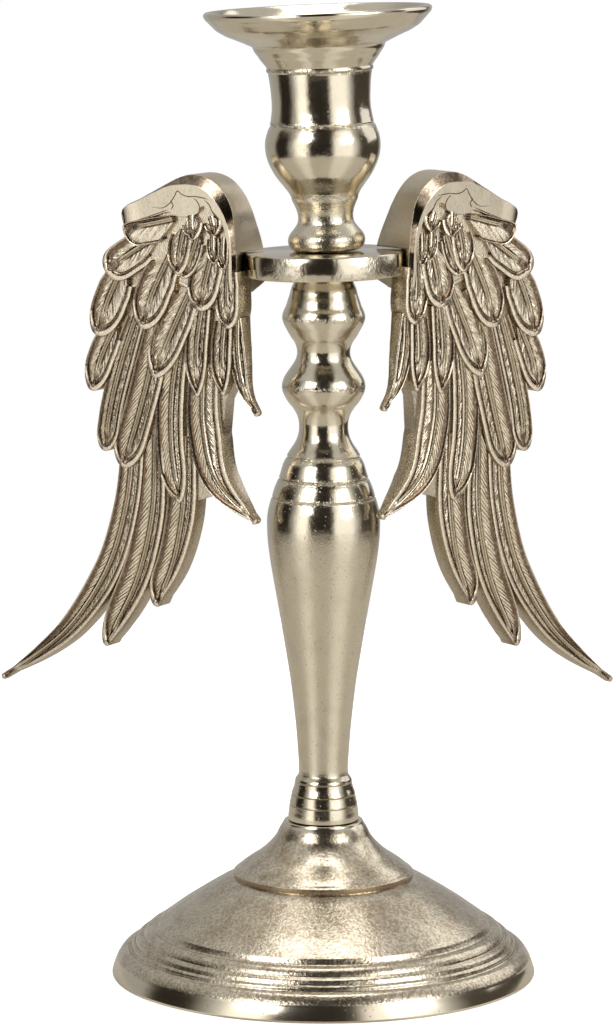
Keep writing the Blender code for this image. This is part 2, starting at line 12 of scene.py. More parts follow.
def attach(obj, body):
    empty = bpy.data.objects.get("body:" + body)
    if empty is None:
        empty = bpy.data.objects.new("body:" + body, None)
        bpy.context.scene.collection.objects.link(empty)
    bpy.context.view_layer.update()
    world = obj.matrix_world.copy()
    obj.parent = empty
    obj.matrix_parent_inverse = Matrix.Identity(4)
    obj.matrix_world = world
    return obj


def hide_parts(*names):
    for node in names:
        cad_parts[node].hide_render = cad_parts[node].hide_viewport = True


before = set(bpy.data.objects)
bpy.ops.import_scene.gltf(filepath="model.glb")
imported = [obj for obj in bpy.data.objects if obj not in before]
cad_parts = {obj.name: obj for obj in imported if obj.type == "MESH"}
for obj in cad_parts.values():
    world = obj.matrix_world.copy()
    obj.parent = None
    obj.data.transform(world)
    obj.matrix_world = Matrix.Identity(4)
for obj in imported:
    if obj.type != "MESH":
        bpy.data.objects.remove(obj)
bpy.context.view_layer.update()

bl_info = {
    "name": "Winged Candlestick",
    "version": (1, 0, 0),
    "blender": (4, 5, 0),
    "location": "View3D > Sidebar > Candlestick",
    "description": "Models a nickel candlestick with feathered wings on its ring",
    "category": "Add Mesh",
}

MM = 0.001

# How the ring, the cup and the wings stand, in millimetres and degrees.
RING_SEAT = (0.3, 182.9)
RING_LEAN = 1.2
CUP_SEAT = (0.84, 189.1)
CUP_LEAN = 2.3
SWEEP = 31.0
FACE_AHEAD = 16.2
PLATE = 6.0
TABLE_START = 15.0
TABLE_LEVEL = 187.0
RIGHT_HANG = (1.3, 1.1, 2.3)   # in, up, degrees

# Turned profiles in millimetres (radius, height): smooth runs that meet at edges. Each run after
# the first starts where the one before it ends.
FOOT = [
    [(2.3, 32.5), (2.3, 40.4)], [(9.9, 40.4)],
    [(10.25, 40.3), (10.45, 39.9), (10.9, 39.2), (11.6, 37.9), (12.4, 36.3), (13.3, 35.1),
     (14.4, 33.9), (16.6, 31.9), (19.4, 30.0), (21.2, 28.7), (22.5, 27.6)],
    [(23.1, 27.2), (23.4, 26.9)], [(23.45, 26.0), (23.4, 25.5)],
    [(23.8, 25.45), (24.3, 25.3)],
    [(26.4, 24.5), (29.0, 23.0), (32.4, 20.9), (38.2, 17.1), (41.2, 14.9), (43.0, 13.6)],
    [(43.4, 12.7), (43.8, 12.1), (44.2, 11.95), (44.8, 12.1)],
    [(45.7, 11.8), (46.5, 11.1), (47.0, 10.3)],
    [(47.2, 9.8), (47.5, 9.7), (47.9, 9.95)],
    [(48.7, 9.4), (49.1, 8.6)], [(49.3, 8.2), (49.6, 8.35)],
    [(50.1, 7.8), (50.3, 7.0)], [(50.6, 6.7), (51.1, 6.95)],
    [(52.1, 6.6), (53.0, 5.7), (53.8, 4.5), (54.4, 3.2), (54.9, 1.8), (55.28, 0.5)],
    [(55.2, 0.1), (54.9, 0.0)], [(51.4, 0.0)],
    [(50.7, 2.0), (50.0, 4.3), (46.6, 7.8), (41.5, 11.6), (31.4, 17.9), (23.6, 21.9),
     (19.5, 26.0), (14.0, 29.6), (9.2, 32.5)],
    [(2.3, 32.5)]]
COLUMN = [
    [(0, 173.0), (2.7, 173.0)], [(2.7, 182.6)], [(7.3, 182.6)],
    [(7.7, 181.1), (8.34, 179.6), (8.75, 178.0), (9.24, 176.5), (9.76, 174.9),
     (10.4, 173.5), (10.68, 172.3), (10.6, 171.4), (10.2, 170.2), (9.4, 168.7), (8.5, 167.1),
     (7.5, 165.6), (6.95, 164.1), (6.85, 162.6), (7.3, 161.0), (8.3, 159.4), (9.35, 157.9),
     (10.3, 156.3), (10.72, 154.8), (10.65, 153.2), (10.05, 151.7), (9.1, 150.1), (7.9, 148.6),
     (6.96, 147.0), (6.46, 145.4), (6.33, 143.9), (6.45, 142.3), (6.85, 140.8), (7.65, 139.2),
     (8.75, 137.6), (9.45, 136.4)],
    [(9.25, 135.95), (9.65, 135.6)],
    [(10.3, 134.5), (10.85, 132.9), (11.3, 131.3), (11.5, 130.7)],
    [(11.3, 130.3), (11.75, 129.95)],
    [(12.1, 129.3), (12.55, 128.2), (13.05, 126.7), (13.3, 125.75)],
    [(13.1, 125.35), (13.55, 125.0)],
    [(13.98, 123.6), (14.4, 121.8), (14.62, 119.9), (14.65, 118.3), (14.61, 116.9),
     (14.45, 114.1), (13.87, 109.4), (12.82, 103.1), (11.7, 96.8), (10.65, 90.5), (9.61, 84.2),
     (8.62, 77.9), (7.82, 71.5), (7.15, 65.2), (6.66, 58.8), (6.43, 55.0), (6.4, 53.6), (6.5, 52.6)],
    [(6.95, 51.9), (7.3, 51.4), (7.45, 50.95)], [(7.15, 50.7), (7.5, 50.4)],
    [(7.75, 49.2), (8.15, 48.1), (8.3, 47.65)], [(7.95, 47.4), (8.35, 47.15)],
    [(8.6, 46.0), (8.85, 44.9)], [(8.5, 44.6), (8.9, 44.35)],
    [(9.05, 43.0), (9.2, 41.6), (9.2, 40.7)],
    [(2.3, 40.7)], [(2.3, 52.7)], [(0, 52.7)]]
CUP = [
    [(0, 220.0), (11.0, 220.0)], [(11.0, 242.6)],
    [(11.15, 243.1), (11.6, 243.45)],
    [(16.0, 244.2), (20.0, 245.5), (23.8, 247.3), (26.0, 248.9), (27.4, 250.5)],
    [(27.9, 250.93), (28.5, 251.0), (29.0, 250.7), (29.2, 250.1)],
    [(28.9, 249.4), (28.2, 248.6), (27.0, 247.3), (25.9, 246.2), (24.8, 245.5),
     (23.5, 244.75), (21.6, 243.95), (19.9, 243.2), (18.2, 242.4), (17.1, 241.8), (16.85, 241.4)],
    [(16.6, 240.7), (16.2, 240.1), (15.7, 239.4), (15.2, 238.6), (14.6, 237.8),
     (14.0, 237.0), (13.55, 236.35)],
    [(13.68, 235.9), (13.66, 235.4), (13.3, 235.0)],
    [(13.05, 233.3), (12.77, 230.3), (12.63, 227.2), (12.72, 225.3), (12.9, 224.1),
     (13.15, 222.6), (13.3, 222.0)],
    [(13.15, 221.65), (13.5, 221.3)],
    [(13.7, 220.9), (14.2, 219.6), (14.62, 218.2), (14.78, 216.8), (14.72, 215.0),
     (14.44, 213.4), (13.96, 211.9), (13.28, 210.4), (12.4, 208.8), (11.35, 207.3), (10.2, 205.8),
     (9.2, 204.4), (8.62, 203.3)],
    [(8.5, 202.6), (7.9, 201.2), (7.3, 199.6), (7.06, 198.1), (7.3, 196.5),
     (8.3, 195.0), (9.35, 193.7), (9.88, 192.4), (9.87, 191.5), (9.5, 190.4), (8.7, 189.6),
     (8.2, 189.4)],
    [(2.45, 189.4)], [(2.45, 199.0)], [(0, 199.0)]]
RING = [
    [(2.45, 0.0), (2.45, 6.2)], [(19.9, 6.2)],
    [(20.2, 6.1), (20.4, 5.75)], [(20.4, 0.45)],
    [(20.2, 0.1), (19.9, 0.0)], [(2.45, 0.0)]]

TIP_LEVEL = 0.1      # where the vane runs out at the tip, as a share of its depth
LONG_FEATHER = 28   # longer ones have stronger strokes and a rib to the tip
# One feather a row: name, spine from root to tip (out, up), outer and inner half (width, where the
# tip starts, how full it is), width at the root, height of the rim, and how deep the barbs are cut.
FEATHERS = [
    ('primary_1', [(32.7, -44), (35.0, -65), (40.1, -81), (46.5, -91.5), (53.5, -99.8),
                   (61.5, -106.3), (73.3, -114.1)], (3.9, 0.5, 1.3), (3.9, 0.5, 1.3), 0.9, 6.0, 1.1),
    ('primary_2', [(26.2, -46), (27.2, -68), (31.4, -84), (41.2, -102.8)],
     (5.2, 0.72, 2.0), (3.5, 0.55, 1.6), 0.8, 6.15, 1.0),
    ('primary_3', [(17.4, -46), (18.2, -67), (21, -80), (26, -91.2)],
     (5.0, 0.8, 2.0), (3.7, 0.45, 1.3), 0.9, 6.05, 1.0),
    ('outer_long', [(31, -14), (36, -28), (39.2, -40), (40.9, -51.2)],
     (3.2, 0.86, 2.0), (3.6, 0.82, 2.0), 0.8, 6.45, 1.1),
    ('middle_long', [(24.5, -14), (27, -28), (30.6, -41), (35.2, -55.2)],
     (4.9, 0.84, 2.0), (4.3, 0.8, 2.0), 0.7, 6.6, 1.2),
    ('inner_long', [(18.3, -20), (20.8, -35), (20.9, -48), (18.5, -63.4)],
     (4.8, 0.75, 1.8), (3.6, 0.75, 1.8), 0.8, 6.5, 1.1),
    ('hooked_long', [(11.3, -26), (11.5, -43), (8.0, -56), (-4.2, -67.2)],
     (4.8, 0.5, 1.3), (4.8, 0.45, 1.2), 0.9, 6.65, 1.3),
    ('inner_point', [(1.6, -13), (1.0, -26), (-0.7, -33), (-4.7, -39.4)],
     (2.6, 0.5, 1.3), (2.1, 0.5, 1.2), 0.4, 6.5, 0.8),
    ('outer_short', [(37.5, -18), (41.6, -26.5), (44.4, -35.5)],
     (4.2, 0.55, 2.0), (3.9, 0.55, 2.0), 0.8, 7.0, 1.0),
    ('long_covert', [(14.5, -7), (20.4, -19), (25.7, -31)],
     (5.2, 0.6, 1.9), (4.5, 0.6, 1.9), 0.7, 7.1, 1.0),
    ('slim_covert', [(11.4, -10), (13.1, -22), (12.9, -35.4)],
     (3.7, 0.6, 1.6), (3.2, 0.6, 1.6), 0.8, 6.95, 0.8),
    ('inner_covert', [(4.8, -13), (5.6, -24), (5.2, -34.6)],
     (3.6, 0.6, 1.6), (2.6, 0.6, 1.6), 0.8, 7.05, 1.0),
    ('edge_covert', [(34.6, -2), (39.0, -11), (42.6, -20.9)],
     (4.5, 0.55, 2.2), (5.6, 0.55, 2.0), 0.7, 7.3, 1.0),
    ('mid_covert', [(20.8, 1), (25.6, -8.5), (29.2, -18.4)],
     (5.2, 0.55, 2.1), (5.2, 0.55, 2.1), 0.7, 7.4, 1.0),
    ('tongue', [(3.7, 0), (4.0, -9), (3.4, -17.3)],
     (3.6, 0.6, 2.1), (3.4, 0.6, 2.1), 0.7, 7.35, 0.1),
    ('tip_covert', [(25, 5.3), (32.2, 0.9), (39.7, -4.0)],
     (4.5, 0.7, 2.5), (5.1, 0.65, 2.4), 0.7, 7.7, 0.8),
    ('centre_covert', [(7.8, 3.5), (9.9, -4.5), (11.9, -13)],
     (5.2, 0.6, 2.1), (4.3, 0.6, 2.1), 0.7, 7.65, 1.0),
    ('side_covert', [(12.4, 6.5), (14.2, 1), (16.8, -5)],
     (2.7, 0.6, 1.8), (2.7, 0.6, 1.8), 0.8, 7.7, 1.0),
    ('upper_covert', [(16.2, 8.5), (17.5, 2.8), (18.1, -4.0)],
     (3.8, 0.5, 2.0), (3.1, 0.5, 2.0), 0.8, 7.8, 1.0),
    ('small_covert', [(7.9, 7), (7.7, 3), (7.1, -0.8)],
     (2.0, 0.5, 2.0), (1.8, 0.5, 2.0), 0.9, 8.0, 0.6),
    ('root_covert', [(5.0, 6), (5.0, 2), (4.6, -2.2)],
     (2.0, 0.5, 2.0), (1.6, 0.5, 2.0), 0.9, 7.9, 0.5),
    ('crown_covert', [(14.2, 11.5), (14.0, 9), (13.4, 5.0)],
     (3.4, 0.3, 2.0), (3.2, 0.3, 2.0), 0.9, 8.0, 0.7),
    ('root_patch', [(8.4, 11.5), (7.7, 9.3), (7.2, 6.4)],
     (2.8, 0.4, 2.0), (2.4, 0.4, 2.0), 0.9, 8.05, 0.7),
    ('top_covert', [(19.6, 10.2), (26.5, 8.7), (34.1, 7.2)],
     (1.5, 0.75, 3.0), (5.2, 0.7, 2.2), 0.6, 8.15, 1.0),
]
# Feathers that thin out toward a sharp tip: over what length, and how far the back comes forward.
POINTED = {'primary_1': (16.0, 4.2), 'hooked_long': (13.0, 4.4), 'inner_point': (30.0, 5.0)}
WEB_FACE = 4.7
WEB = [
    (4, 4), (1.5, -10), (1.2, -28), (5.5, -36), (6.5, -46), (6, -54), (9, -61), (15, -63),
    (16.5, -72), (21, -83), (25, -86), (29, -86), (33, -91), (37.5, -96), (38, -88),
    (37.5, -79), (35.2, -68), (33.5, -57), (38.5, -50), (41, -42), (42, -34), (42.5, -20),
    (40.5, -8), (36, 1.5), (30, 8), (12, 8)]
# Shoulder: outer line of its bevel, edge of the smooth band inside it and the band's inner edge, as
# (out, up), and how far the piece goes back from the front face there.
SHOULDER = [
    ((1.6, -8.5), (2.2, -8.3), (3.0, -7.8), 8.5), ((1.8, -4.6), (2.5, -4.5), (3.3, -4.3), 17.0),
    ((1.8, 0), (2.5, 0), (3.4, 0), 15.5), ((2.0, 4.5), (2.8, 4.3), (3.8, 4.0), 14.0),
    ((2.4, 9), (3.6, 8.5), (4.6, 8.0), 12.0), ((3.0, 13), (5.0, 12.0), (6.2, 10.8), 10.4),
    ((4.7, 16.6), (7.2, 15.0), (8.8, 13.2), 9.8), ((8.0, 19.9), (9.6, 17.3), (11.2, 13.8), 9.8),
    ((11.5, 21.4), (12.0, 18.6), (12.6, 11.9), 9.8), ((15, 21.7), (15, 19.1), (15.2, 11.1), 9.2),
    ((18.5, 20.8), (17.9, 19.0), (18.2, 11.0), 8.6),
    ((21.5, 19.4), (21.2, 18.5), (20.6, 12.0), 8.2),
    ((25, 17.6), (24.8, 17.0), (24.5, 11.0), 7.8), ((30, 15), (29.8, 14.6), (29, 9.6), 7.2),
    ((35, 12.3), (34.7, 12.0), (34.0, 7.6), 6.5)]
# The rest of its outline, under the feathers.
SHOULDER_REST = [((33.4, 4.5), 6.3), ((28, -1.5), 6.3), ((18, -7), 7.0), ((9, -10), 8.0)]
SHOULDER_CENTRE = (11.5, 3.0)
SHOULDER_FLOOR = 5.7
SHOULDER_FLAT = 7.0

# Fine lines on the shoulder's band, as (out, up): thin strips that stand a little proud, painted dark as
# the shade of engraved grooves.
LINE_HALF_WIDTH = 0.14
LINE_PROUD = 0.03
FINE_LINES = [
    [(26.2, 13.0), (22.2, 13.1), (20.6, 14.2), (19.2, 16.0), (18.3, 17.4), (17.0, 16.6), (15.2, 16.1),
     (13.2, 16.2), (11.4, 16.0), (10.2, 15.8), (9.0, 15.4)],
    [(13.6, 15.9), (12.4, 14.8), (11.8, 13.4), (12.0, 12.4)],
    [(10.6, 15.6), (9.0, 14.2), (7.9, 12.2), (6.0, 10.8)],
    [(20.4, 15.0), (19.6, 13.6), (20.2, 12.6)],
    [(33.4, 8.4), (29.0, 9.8), (24.6, 11.3), (20.9, 12.6)]]


# Heights in millimetres of the tool's marks round the turned pieces, and their half width.
CUP_MARKS = (235.4, 221.6, 203.2)
COLUMN_MARKS = (172.0, 154.4, 136.0, 130.4, 125.4)
MARK_WIDTH = 0.0009

# Boxes of a ring's lug and of the slot in a boss, in millimetres as (out, ahead, up).
LUG = (12, 0.6, 0.05), (24, 10.4, 6.15)
SLOT = (2, -8, -0.3), (24.3, 10.9, 6.5)
SEAT_RADIUS = 0.0207
SEAT_DEPTH = 0.0068

# Camera: distance and height in metres, turn, fall and aim aside in degrees, and the picture.
CAMERA_FAR = 1.170
CAMERA_HIGH = 0.294
CAMERA_TURN = -3.1
CAMERA_FALL = 8.39
CAMERA_ASIDE = 0.21
SENSOR = 36.0
FOCAL_PIXELS = 4575.0
PICTURE_HEIGHT = 1024.0


class CandlestickSizes(bpy.types.PropertyGroup):
    """Sizes that a maker would change."""

    turning_steps: bpy.props.IntProperty(
        name="Turning steps", description="Faces round the turned pieces", default=144, min=24, max=256)
    smoothing: bpy.props.IntProperty(
        name="Profile smoothing", description="Points between two points of a turned profile",
        default=5, min=1, max=12)
    rim_width: bpy.props.FloatProperty(
        name="Feather rim", description="Width of the smooth rim at a feather's tip",
        default=0.00135, unit='LENGTH')
    slope_width: bpy.props.FloatProperty(
        name="Feather slope", description="Width of the slope inside the rim",
        default=0.0014, unit='LENGTH')
    slope_depth: bpy.props.FloatProperty(
        name="Feather depth", description="How far the vane's edge lies below the rim",
        default=0.00072, unit='LENGTH')
    rib_height: bpy.props.FloatProperty(
        name="Rib height", description="Height of a feather's double rib over its rim",
        default=0.00012, unit='LENGTH')
    barb_pitch: bpy.props.FloatProperty(
        name="Barb pitch", description="Distance between the slanted strokes of a feather",
        default=0.0015, unit='LENGTH')
    barb_depth: bpy.props.FloatProperty(
        name="Barb depth", description="Depth of the slanted strokes", default=0.00024, unit='LENGTH')


class CandlestickFinish(bpy.types.PropertyGroup):
    """Colours and polish of the metal."""

    nickel: bpy.props.FloatVectorProperty(
        name="Nickel", description="Colour of the plated metal", subtype='COLOR', size=3,
        default=(0.62, 0.565, 0.45), min=0.0, max=1.0)
    # Painted shade: the dark colour that the carving's cuts, slopes and lines take in place of their shade
    # and dark reflections.
    recess: bpy.props.FloatVectorProperty(
        name="Recess", description="Colour in the deep parts of the carving", subtype='COLOR', size=3,
        default=(0.13, 0.085, 0.055), min=0.0, max=1.0)
    steel: bpy.props.FloatVectorProperty(
        name="Steel", description="Colour of the rods, pins and nut", subtype='COLOR', size=3,
        default=(0.42, 0.41, 0.39), min=0.0, max=1.0)
    polish: bpy.props.FloatProperty(
        name="Polish", description="Roughness of the polished surfaces", default=0.135,
        min=0.0, max=1.0)
    satin: bpy.props.FloatProperty(
        name="Satin", description="Roughness of the satin taper and the cast surfaces", default=0.2,
        min=0.0, max=1.0)


class Field:
    """A socket's value, so that shader maths is written as ordinary expressions."""

    def __init__(self, paint, socket):
        self.paint = paint
        self.socket = socket

    def math(self, operation, *others):
        values = dict(enumerate((self,) + others))
        return self.paint.node('ShaderNodeMath', {'operation': operation}, values)

    def __add__(self, other):
        return self.math('ADD', other)

    __radd__ = __add__

    def __mul__(self, other):
        return self.math('MULTIPLY', other)

    __rmul__ = __mul__

    def __sub__(self, other):
        return self.math('SUBTRACT', other)

    def __rsub__(self, other):
        return self.paint.node('ShaderNodeMath', {'operation': 'SUBTRACT'}, {0: other, 1: self})

    def __truediv__(self, other):
        return self.math('DIVIDE', other)

    def step(self, low, high):
        """0 below low, 1 above high, smooth between."""
        return self.paint.node('ShaderNodeMapRange', {'interpolation_type': 'SMOOTHSTEP'},
                               {'Value': self, 'From Min': low, 'From Max': high})


class Paint:
    """Builds one node tree."""

    def __init__(self, tree):
        self.tree = tree

    def node(self, kind, settings=None, values=None, output=0):
        made = self.tree.nodes.new(kind)
        for key, value in (settings or {}).items():
            setattr(made, key, value)
        for key, value in (values or {}).items():
            socket = made.inputs[key]
            if isinstance(value, Field):
                self.tree.links.new(value.socket, socket)
            elif isinstance(value, (tuple, list)) and len(value) == 3 and socket.type == 'RGBA':
                socket.default_value = (*value, 1.0)
            else:
                socket.default_value = value
        return Field(self, made.outputs[output])

    def blend(self, share, first, second):
        """A colour between two colours."""
        return self.node('ShaderNodeMix', {'data_type': 'RGBA'}, {0: share, 6: first, 7: second}, 2)

    def place(self):
        return self.node('ShaderNodeTexCoord', output=3)

    def axis(self, vector, index):
        return self.node('ShaderNodeSeparateXYZ', None, {0: vector}, index)

    def noise(self, vector, size, detail=2.0, rough=0.5):
        """Soft noise with features about size metres wide."""
        return self.node('ShaderNodeTexNoise', None,
                         {'Vector': vector, 'Scale': 1.0 / size, 'Detail': detail, 'Roughness': rough})

    def pits(self, vector, size):
        """1 in small round pits scattered over the surface, 0 elsewhere."""
        spread = self.node('ShaderNodeTexVoronoi', None,
                           {'Vector': vector, 'Scale': 1.0 / size, 'Randomness': 1.0})
        return 1.0 - spread.step(0.06, 0.2)


def metal(name, colour, roughness):
    """A material with a metal shader, and the painter of its tree."""
    material = bpy.data.materials.new(name)
    material.use_nodes = True
    shader = material.node_tree.nodes['Principled BSDF']
    shader.inputs['Metallic'].default_value = 1.0
    shader.inputs['Base Color'].default_value = (*colour, 1.0)
    shader.inputs['Roughness'].default_value = roughness
    material.diffuse_color = (*colour, 1.0)
    return material, Paint(material.node_tree), shader


def feed(paint, shader, name, field):
    paint.tree.links.new(field.socket, shader.inputs[name])


def relief(paint, shader, height, distance):
    """Bump from a height between 0 and 1 that stands for distance metres."""
    bump = paint.node('ShaderNodeBump', None,
                      {'Strength': 1.0, 'Distance': distance, 'Height': height})
    feed(paint, shader, 'Normal', bump)


def stain(paint, shader, share, colour, factors):
    """Base colour between a colour and its darker kind, for stains and wear, and for painted shade where a
    share holds it.
    """
    darker = tuple(c * k for c, k in zip(colour, factors))
    feed(paint, shader, 'Base Color', paint.blend(share, tuple(colour), darker))


def tool_marks(paint, place, levels):
    """Uneven marks left round a turned piece at these heights in millimetres."""
    height = paint.axis(place, 2)
    lines = 0.0
    for level in levels:
        lines = (1.0 - ((height - level * MM) / MARK_WIDTH).math('ABSOLUTE')).math('MAXIMUM', lines)
    return lines * paint.noise(place, 0.0014, 3.0, 0.65).step(0.42, 0.6)


def polished_nickel(finish):
    """Bright turned metal with faint waves, turning marks and a few pits."""
    material, paint, shader = metal('polished_nickel', finish.nickel, finish.polish)
    place = paint.place()
    height = paint.axis(place, 2)
    satin = 1.0 - height.step(0.2, 0.209)
    waves = paint.noise(place, 0.006, 2.0)
    grain = paint.noise(place, 0.0005, 3.0)
    pits = paint.pits(place, 0.0016)
    marks = tool_marks(paint, place, CUP_MARKS)
    rough = finish.polish + 0.09 * satin + 0.10 * grain.step(0.45, 0.8)
    feed(paint, shader, 'Roughness', rough + 0.1 * pits + 0.25 * marks)
    share = pits * 0.3 + 0.25 * waves.step(0.45, 0.75) + 0.8 * marks
    stain(paint, shader, share.math('MINIMUM', 1.0), finish.nickel, (0.66,) * 3)
    relief(paint, shader, 0.8 * waves + (0.12 + 0.4 * satin) * grain + 0.7 * marks, 0.00013)
    return material


def column_nickel(finish):
    """Polished above the column's shoulder, satin with fine pits on the taper below it."""
    material, paint, shader = metal('column_nickel', finish.nickel, finish.polish)
    place = paint.place()
    height = paint.axis(place, 2)
    satin = (1.0 - height.step(0.1150, 0.1185)) * height.step(0.0510, 0.0535)
    waves = paint.noise(place, 0.005, 2.0)
    grain = paint.noise(place, 0.00035, 3.0, 0.6)
    pits = paint.pits(place, 0.0013)
    marks = tool_marks(paint, place, COLUMN_MARKS)
    rough = finish.polish + satin * (finish.satin - finish.polish) + 0.12 * grain.step(0.45, 0.8)
    feed(paint, shader, 'Roughness', rough + 0.2 * pits + 0.25 * marks)
    share = pits * (0.15 + 0.6 * satin) + 0.25 * waves.step(0.45, 0.75) + 0.8 * marks
    stain(paint, shader, share.math('MINIMUM', 1.0), finish.nickel, (0.66,) * 3)
    relief(paint, shader, 0.7 * waves + grain * (0.1 + 0.35 * satin) + 0.7 * marks - 0.15 * pits,
           0.00013)
    return material


def foot_nickel(finish):
    """Pebbly cast metal above a polished edge, with painted shade in a band under the step's lip."""
    material, paint, shader = metal('foot_nickel', finish.nickel, finish.satin)
    place = paint.place()
    height = paint.axis(place, 2)
    cast = height.step(0.0037, 0.0045) * (1.0 - height.step(0.0385, 0.0398))
    pebble = paint.noise(place, 0.0008, 3.0, 0.6)
    waves = paint.noise(place, 0.011, 1.0)
    clouds = paint.noise(place, 0.006, 3.0, 0.6)
    grain = paint.noise(place, 0.0003, 2.0)
    pits = paint.pits(place, 0.0021)
    feed(paint, shader, 'Roughness',
         finish.polish + cast * (0.01 + 0.09 * pebble) + 0.05 * grain + 0.1 * pits)
    # Painted shade: the band under the step's lip, 25.6 to 26.9 mm up, is darkened in colour for the shade
    # and dark reflection beneath the lip.
    under = height.step(0.0256, 0.0258) * (1.0 - height.step(0.0266, 0.0269))
    neck = height.step(0.0268, 0.0275)
    share = (cast * (0.45 * (1.0 - pebble.step(0.38, 0.6)) + 0.3 * clouds.step(0.4, 0.65))
             + 0.5 * pits + under)
    stain(paint, shader, share.math('MINIMUM', 1.0), finish.nickel, (0.46, 0.37, 0.3))
    rough_cast = cast * (1.0 - 0.55 * neck)
    relief(paint, shader, 0.8 * waves + rough_cast * (0.4 * clouds + 0.65 * pebble) - 0.05 * pits, 0.00015)
    return material


def ring_nickel(finish):
    """Mirror top and bottom, roughly ground edge."""
    material, paint, shader = metal('ring_nickel', finish.nickel, finish.polish)
    place = paint.place()
    normal = paint.node('ShaderNodeNewGeometry', output=1)
    edge = 1.0 - paint.axis(normal, 2).math('ABSOLUTE').step(0.3, 0.7)
    ground = paint.noise(place, 0.0009, 3.0, 0.6)
    waves = paint.noise(place, 0.004, 1.0)
    patch = paint.noise(place, 0.009, 2.0).step(0.45, 0.6)
    feed(paint, shader, 'Roughness', finish.polish + edge * patch * (0.03 + 0.16 * ground))
    stain(paint, shader, edge * patch * ground.step(0.35, 0.75) * 0.7, finish.nickel, (0.5,) * 3)
    relief(paint, shader, 0.5 * waves + edge * patch * ground, 0.00016)
    return material


def carved_nickel(finish):
    """Cast wing metal, its colour darkened by painted shade and reflection in the cuts, polished and finely
    filed on the shoulder.
    """
    material, paint, shader = metal('carved_nickel', finish.nickel, finish.satin)
    place = paint.place()
    light = paint.node('ShaderNodeAttribute', {'attribute_name': 'relief'}, output=2)
    smooth_part = paint.node('ShaderNodeAttribute', {'attribute_name': 'polish'}, output=2)
    grain = paint.noise(place, 0.00035, 3.0, 0.6)
    cast = paint.noise(place, 0.0009, 3.0, 0.6)
    waves = paint.noise(place, 0.006, 1.0)
    # The 'relief' attribute holds painted shade: where it is low the colour goes toward the recess shade;
    # the cast noise adds random tone.
    low = 1.0 - light.step(0.05, 0.76)
    dark = low * (0.82 + 0.3 * cast.step(0.3, 0.6)) + 0.12 * cast.step(0.5, 0.7)
    cast_nickel = tuple(c * k for c, k in zip(finish.nickel, (1.0, 0.97, 0.95)))
    feed(paint, shader, 'Base Color', paint.blend(
        dark.math('MINIMUM', 1.0), cast_nickel, tuple(finish.recess)))
    rough = 0.18 + 0.1 * light + 0.1 * grain.step(0.4, 0.8)
    feed(paint, shader, 'Roughness', rough - smooth_part * 0.1)
    wall = (smooth_part * -3.0).math('MAXIMUM', 0.0)
    relief(paint, shader, (0.35 + wall) * waves
           + (1.0 - 0.8 * smooth_part.math('MAXIMUM', 0.0)) * (0.5 * cast + 0.3 * grain), 0.00014)
    return material


def plain_steel(finish):
    """Dull steel of the fasteners."""
    material, paint, shader = metal('plain_steel', finish.steel, 0.38)
    place = paint.place()
    grain = paint.noise(place, 0.0006, 3.0, 0.6)
    feed(paint, shader, 'Roughness', 0.3 + 0.25 * grain)
    stain(paint, shader, grain.step(0.4, 0.8) * 0.5, finish.steel, (0.6,) * 3)
    relief(paint, shader, grain, 0.00008)
    return material


def surface(maker, finish):
    """The material that the maker gives, made once under the maker's name."""
    return bpy.data.materials.get(maker.__name__) or maker(finish)


def curve_points(points, count):
    """Points of a smooth curve through the given points, count for each span."""
    points = [np.array(p, float) for p in points]
    if len(points) == 2:
        return [points[0], points[1]]
    spans = [max(1e-9, float(np.linalg.norm(b - a))) for a, b in zip(points, points[1:])]
    slopes = [(points[1] - points[0]) / spans[0]]
    for index in range(1, len(points) - 1):
        before, after = spans[index - 1], spans[index]
        back = (points[index] - points[index - 1]) / before
        fore = (points[index + 1] - points[index]) / after
        slopes.append((back * after + fore * before) / (before + after))
    slopes.append((points[-1] - points[-2]) / spans[-1])
    result = []
    for index, span in enumerate(spans):
        for step in range(count):
            x = step / count
            result.append((2 * x ** 3 - 3 * x ** 2 + 1) * points[index]
                          + (x ** 3 - 2 * x ** 2 + x) * span * slopes[index]
                          + (3 * x ** 2 - 2 * x ** 3) * points[index + 1]
                          + (x ** 3 - x ** 2) * span * slopes[index + 1])
    result.append(points[-1])
    return result


def start_piece():
    """Leave nothing selected, so that an operator acts on the new piece alone."""
    if bpy.context.object and bpy.context.object.mode != 'OBJECT':
        bpy.ops.object.mode_set(mode='OBJECT')
    bpy.ops.object.select_all(action='DESELECT')


def pick(active, *others):
    """Select the active piece and the others, and nothing else."""
    bpy.ops.object.select_all(action='DESELECT')
    for item in (*others, active):
        item.select_set(True)
    bpy.context.view_layer.objects.active = active


def face_outward():
    """Turn the normals of the piece that is being edited outward, and end the editing."""
    bpy.ops.mesh.select_all(action='SELECT')
    bpy.ops.mesh.normals_make_consistent(inside=False)
    bpy.ops.object.mode_set(mode='OBJECT')


def take(name):
    """Name the primitive that was just added."""
    piece = bpy.context.object
    piece.name = name
    piece.data.name = name
    return piece


def box(name, place, corners):
    """A box between two corners in millimetres, put at a place."""
    low, high = map(Vector, corners)
    start_piece()
    bpy.ops.mesh.primitive_cube_add(size=1)
    piece = take(name)
    piece.matrix_world = (place @ Matrix.Translation((low + high) / 2 * MM)
                          @ Matrix.Diagonal(((high - low) * MM).to_4d()))
    return piece


def finish_piece(piece, matrix, angle, material, slot, *nodes):
    """Put the piece's place in its mesh, shade it, and hang it on the frame."""
    pick(piece)
    piece.matrix_world = matrix @ piece.matrix_world
    bpy.ops.object.transform_apply(location=True, rotation=True, scale=True)
    bpy.ops.object.shade_smooth_by_angle(angle=math.radians(angle))
    piece.data.materials.clear()
    piece.data.materials.append(material)
    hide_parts(*nodes)
    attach(piece, "root")
    piece.select_set(False)


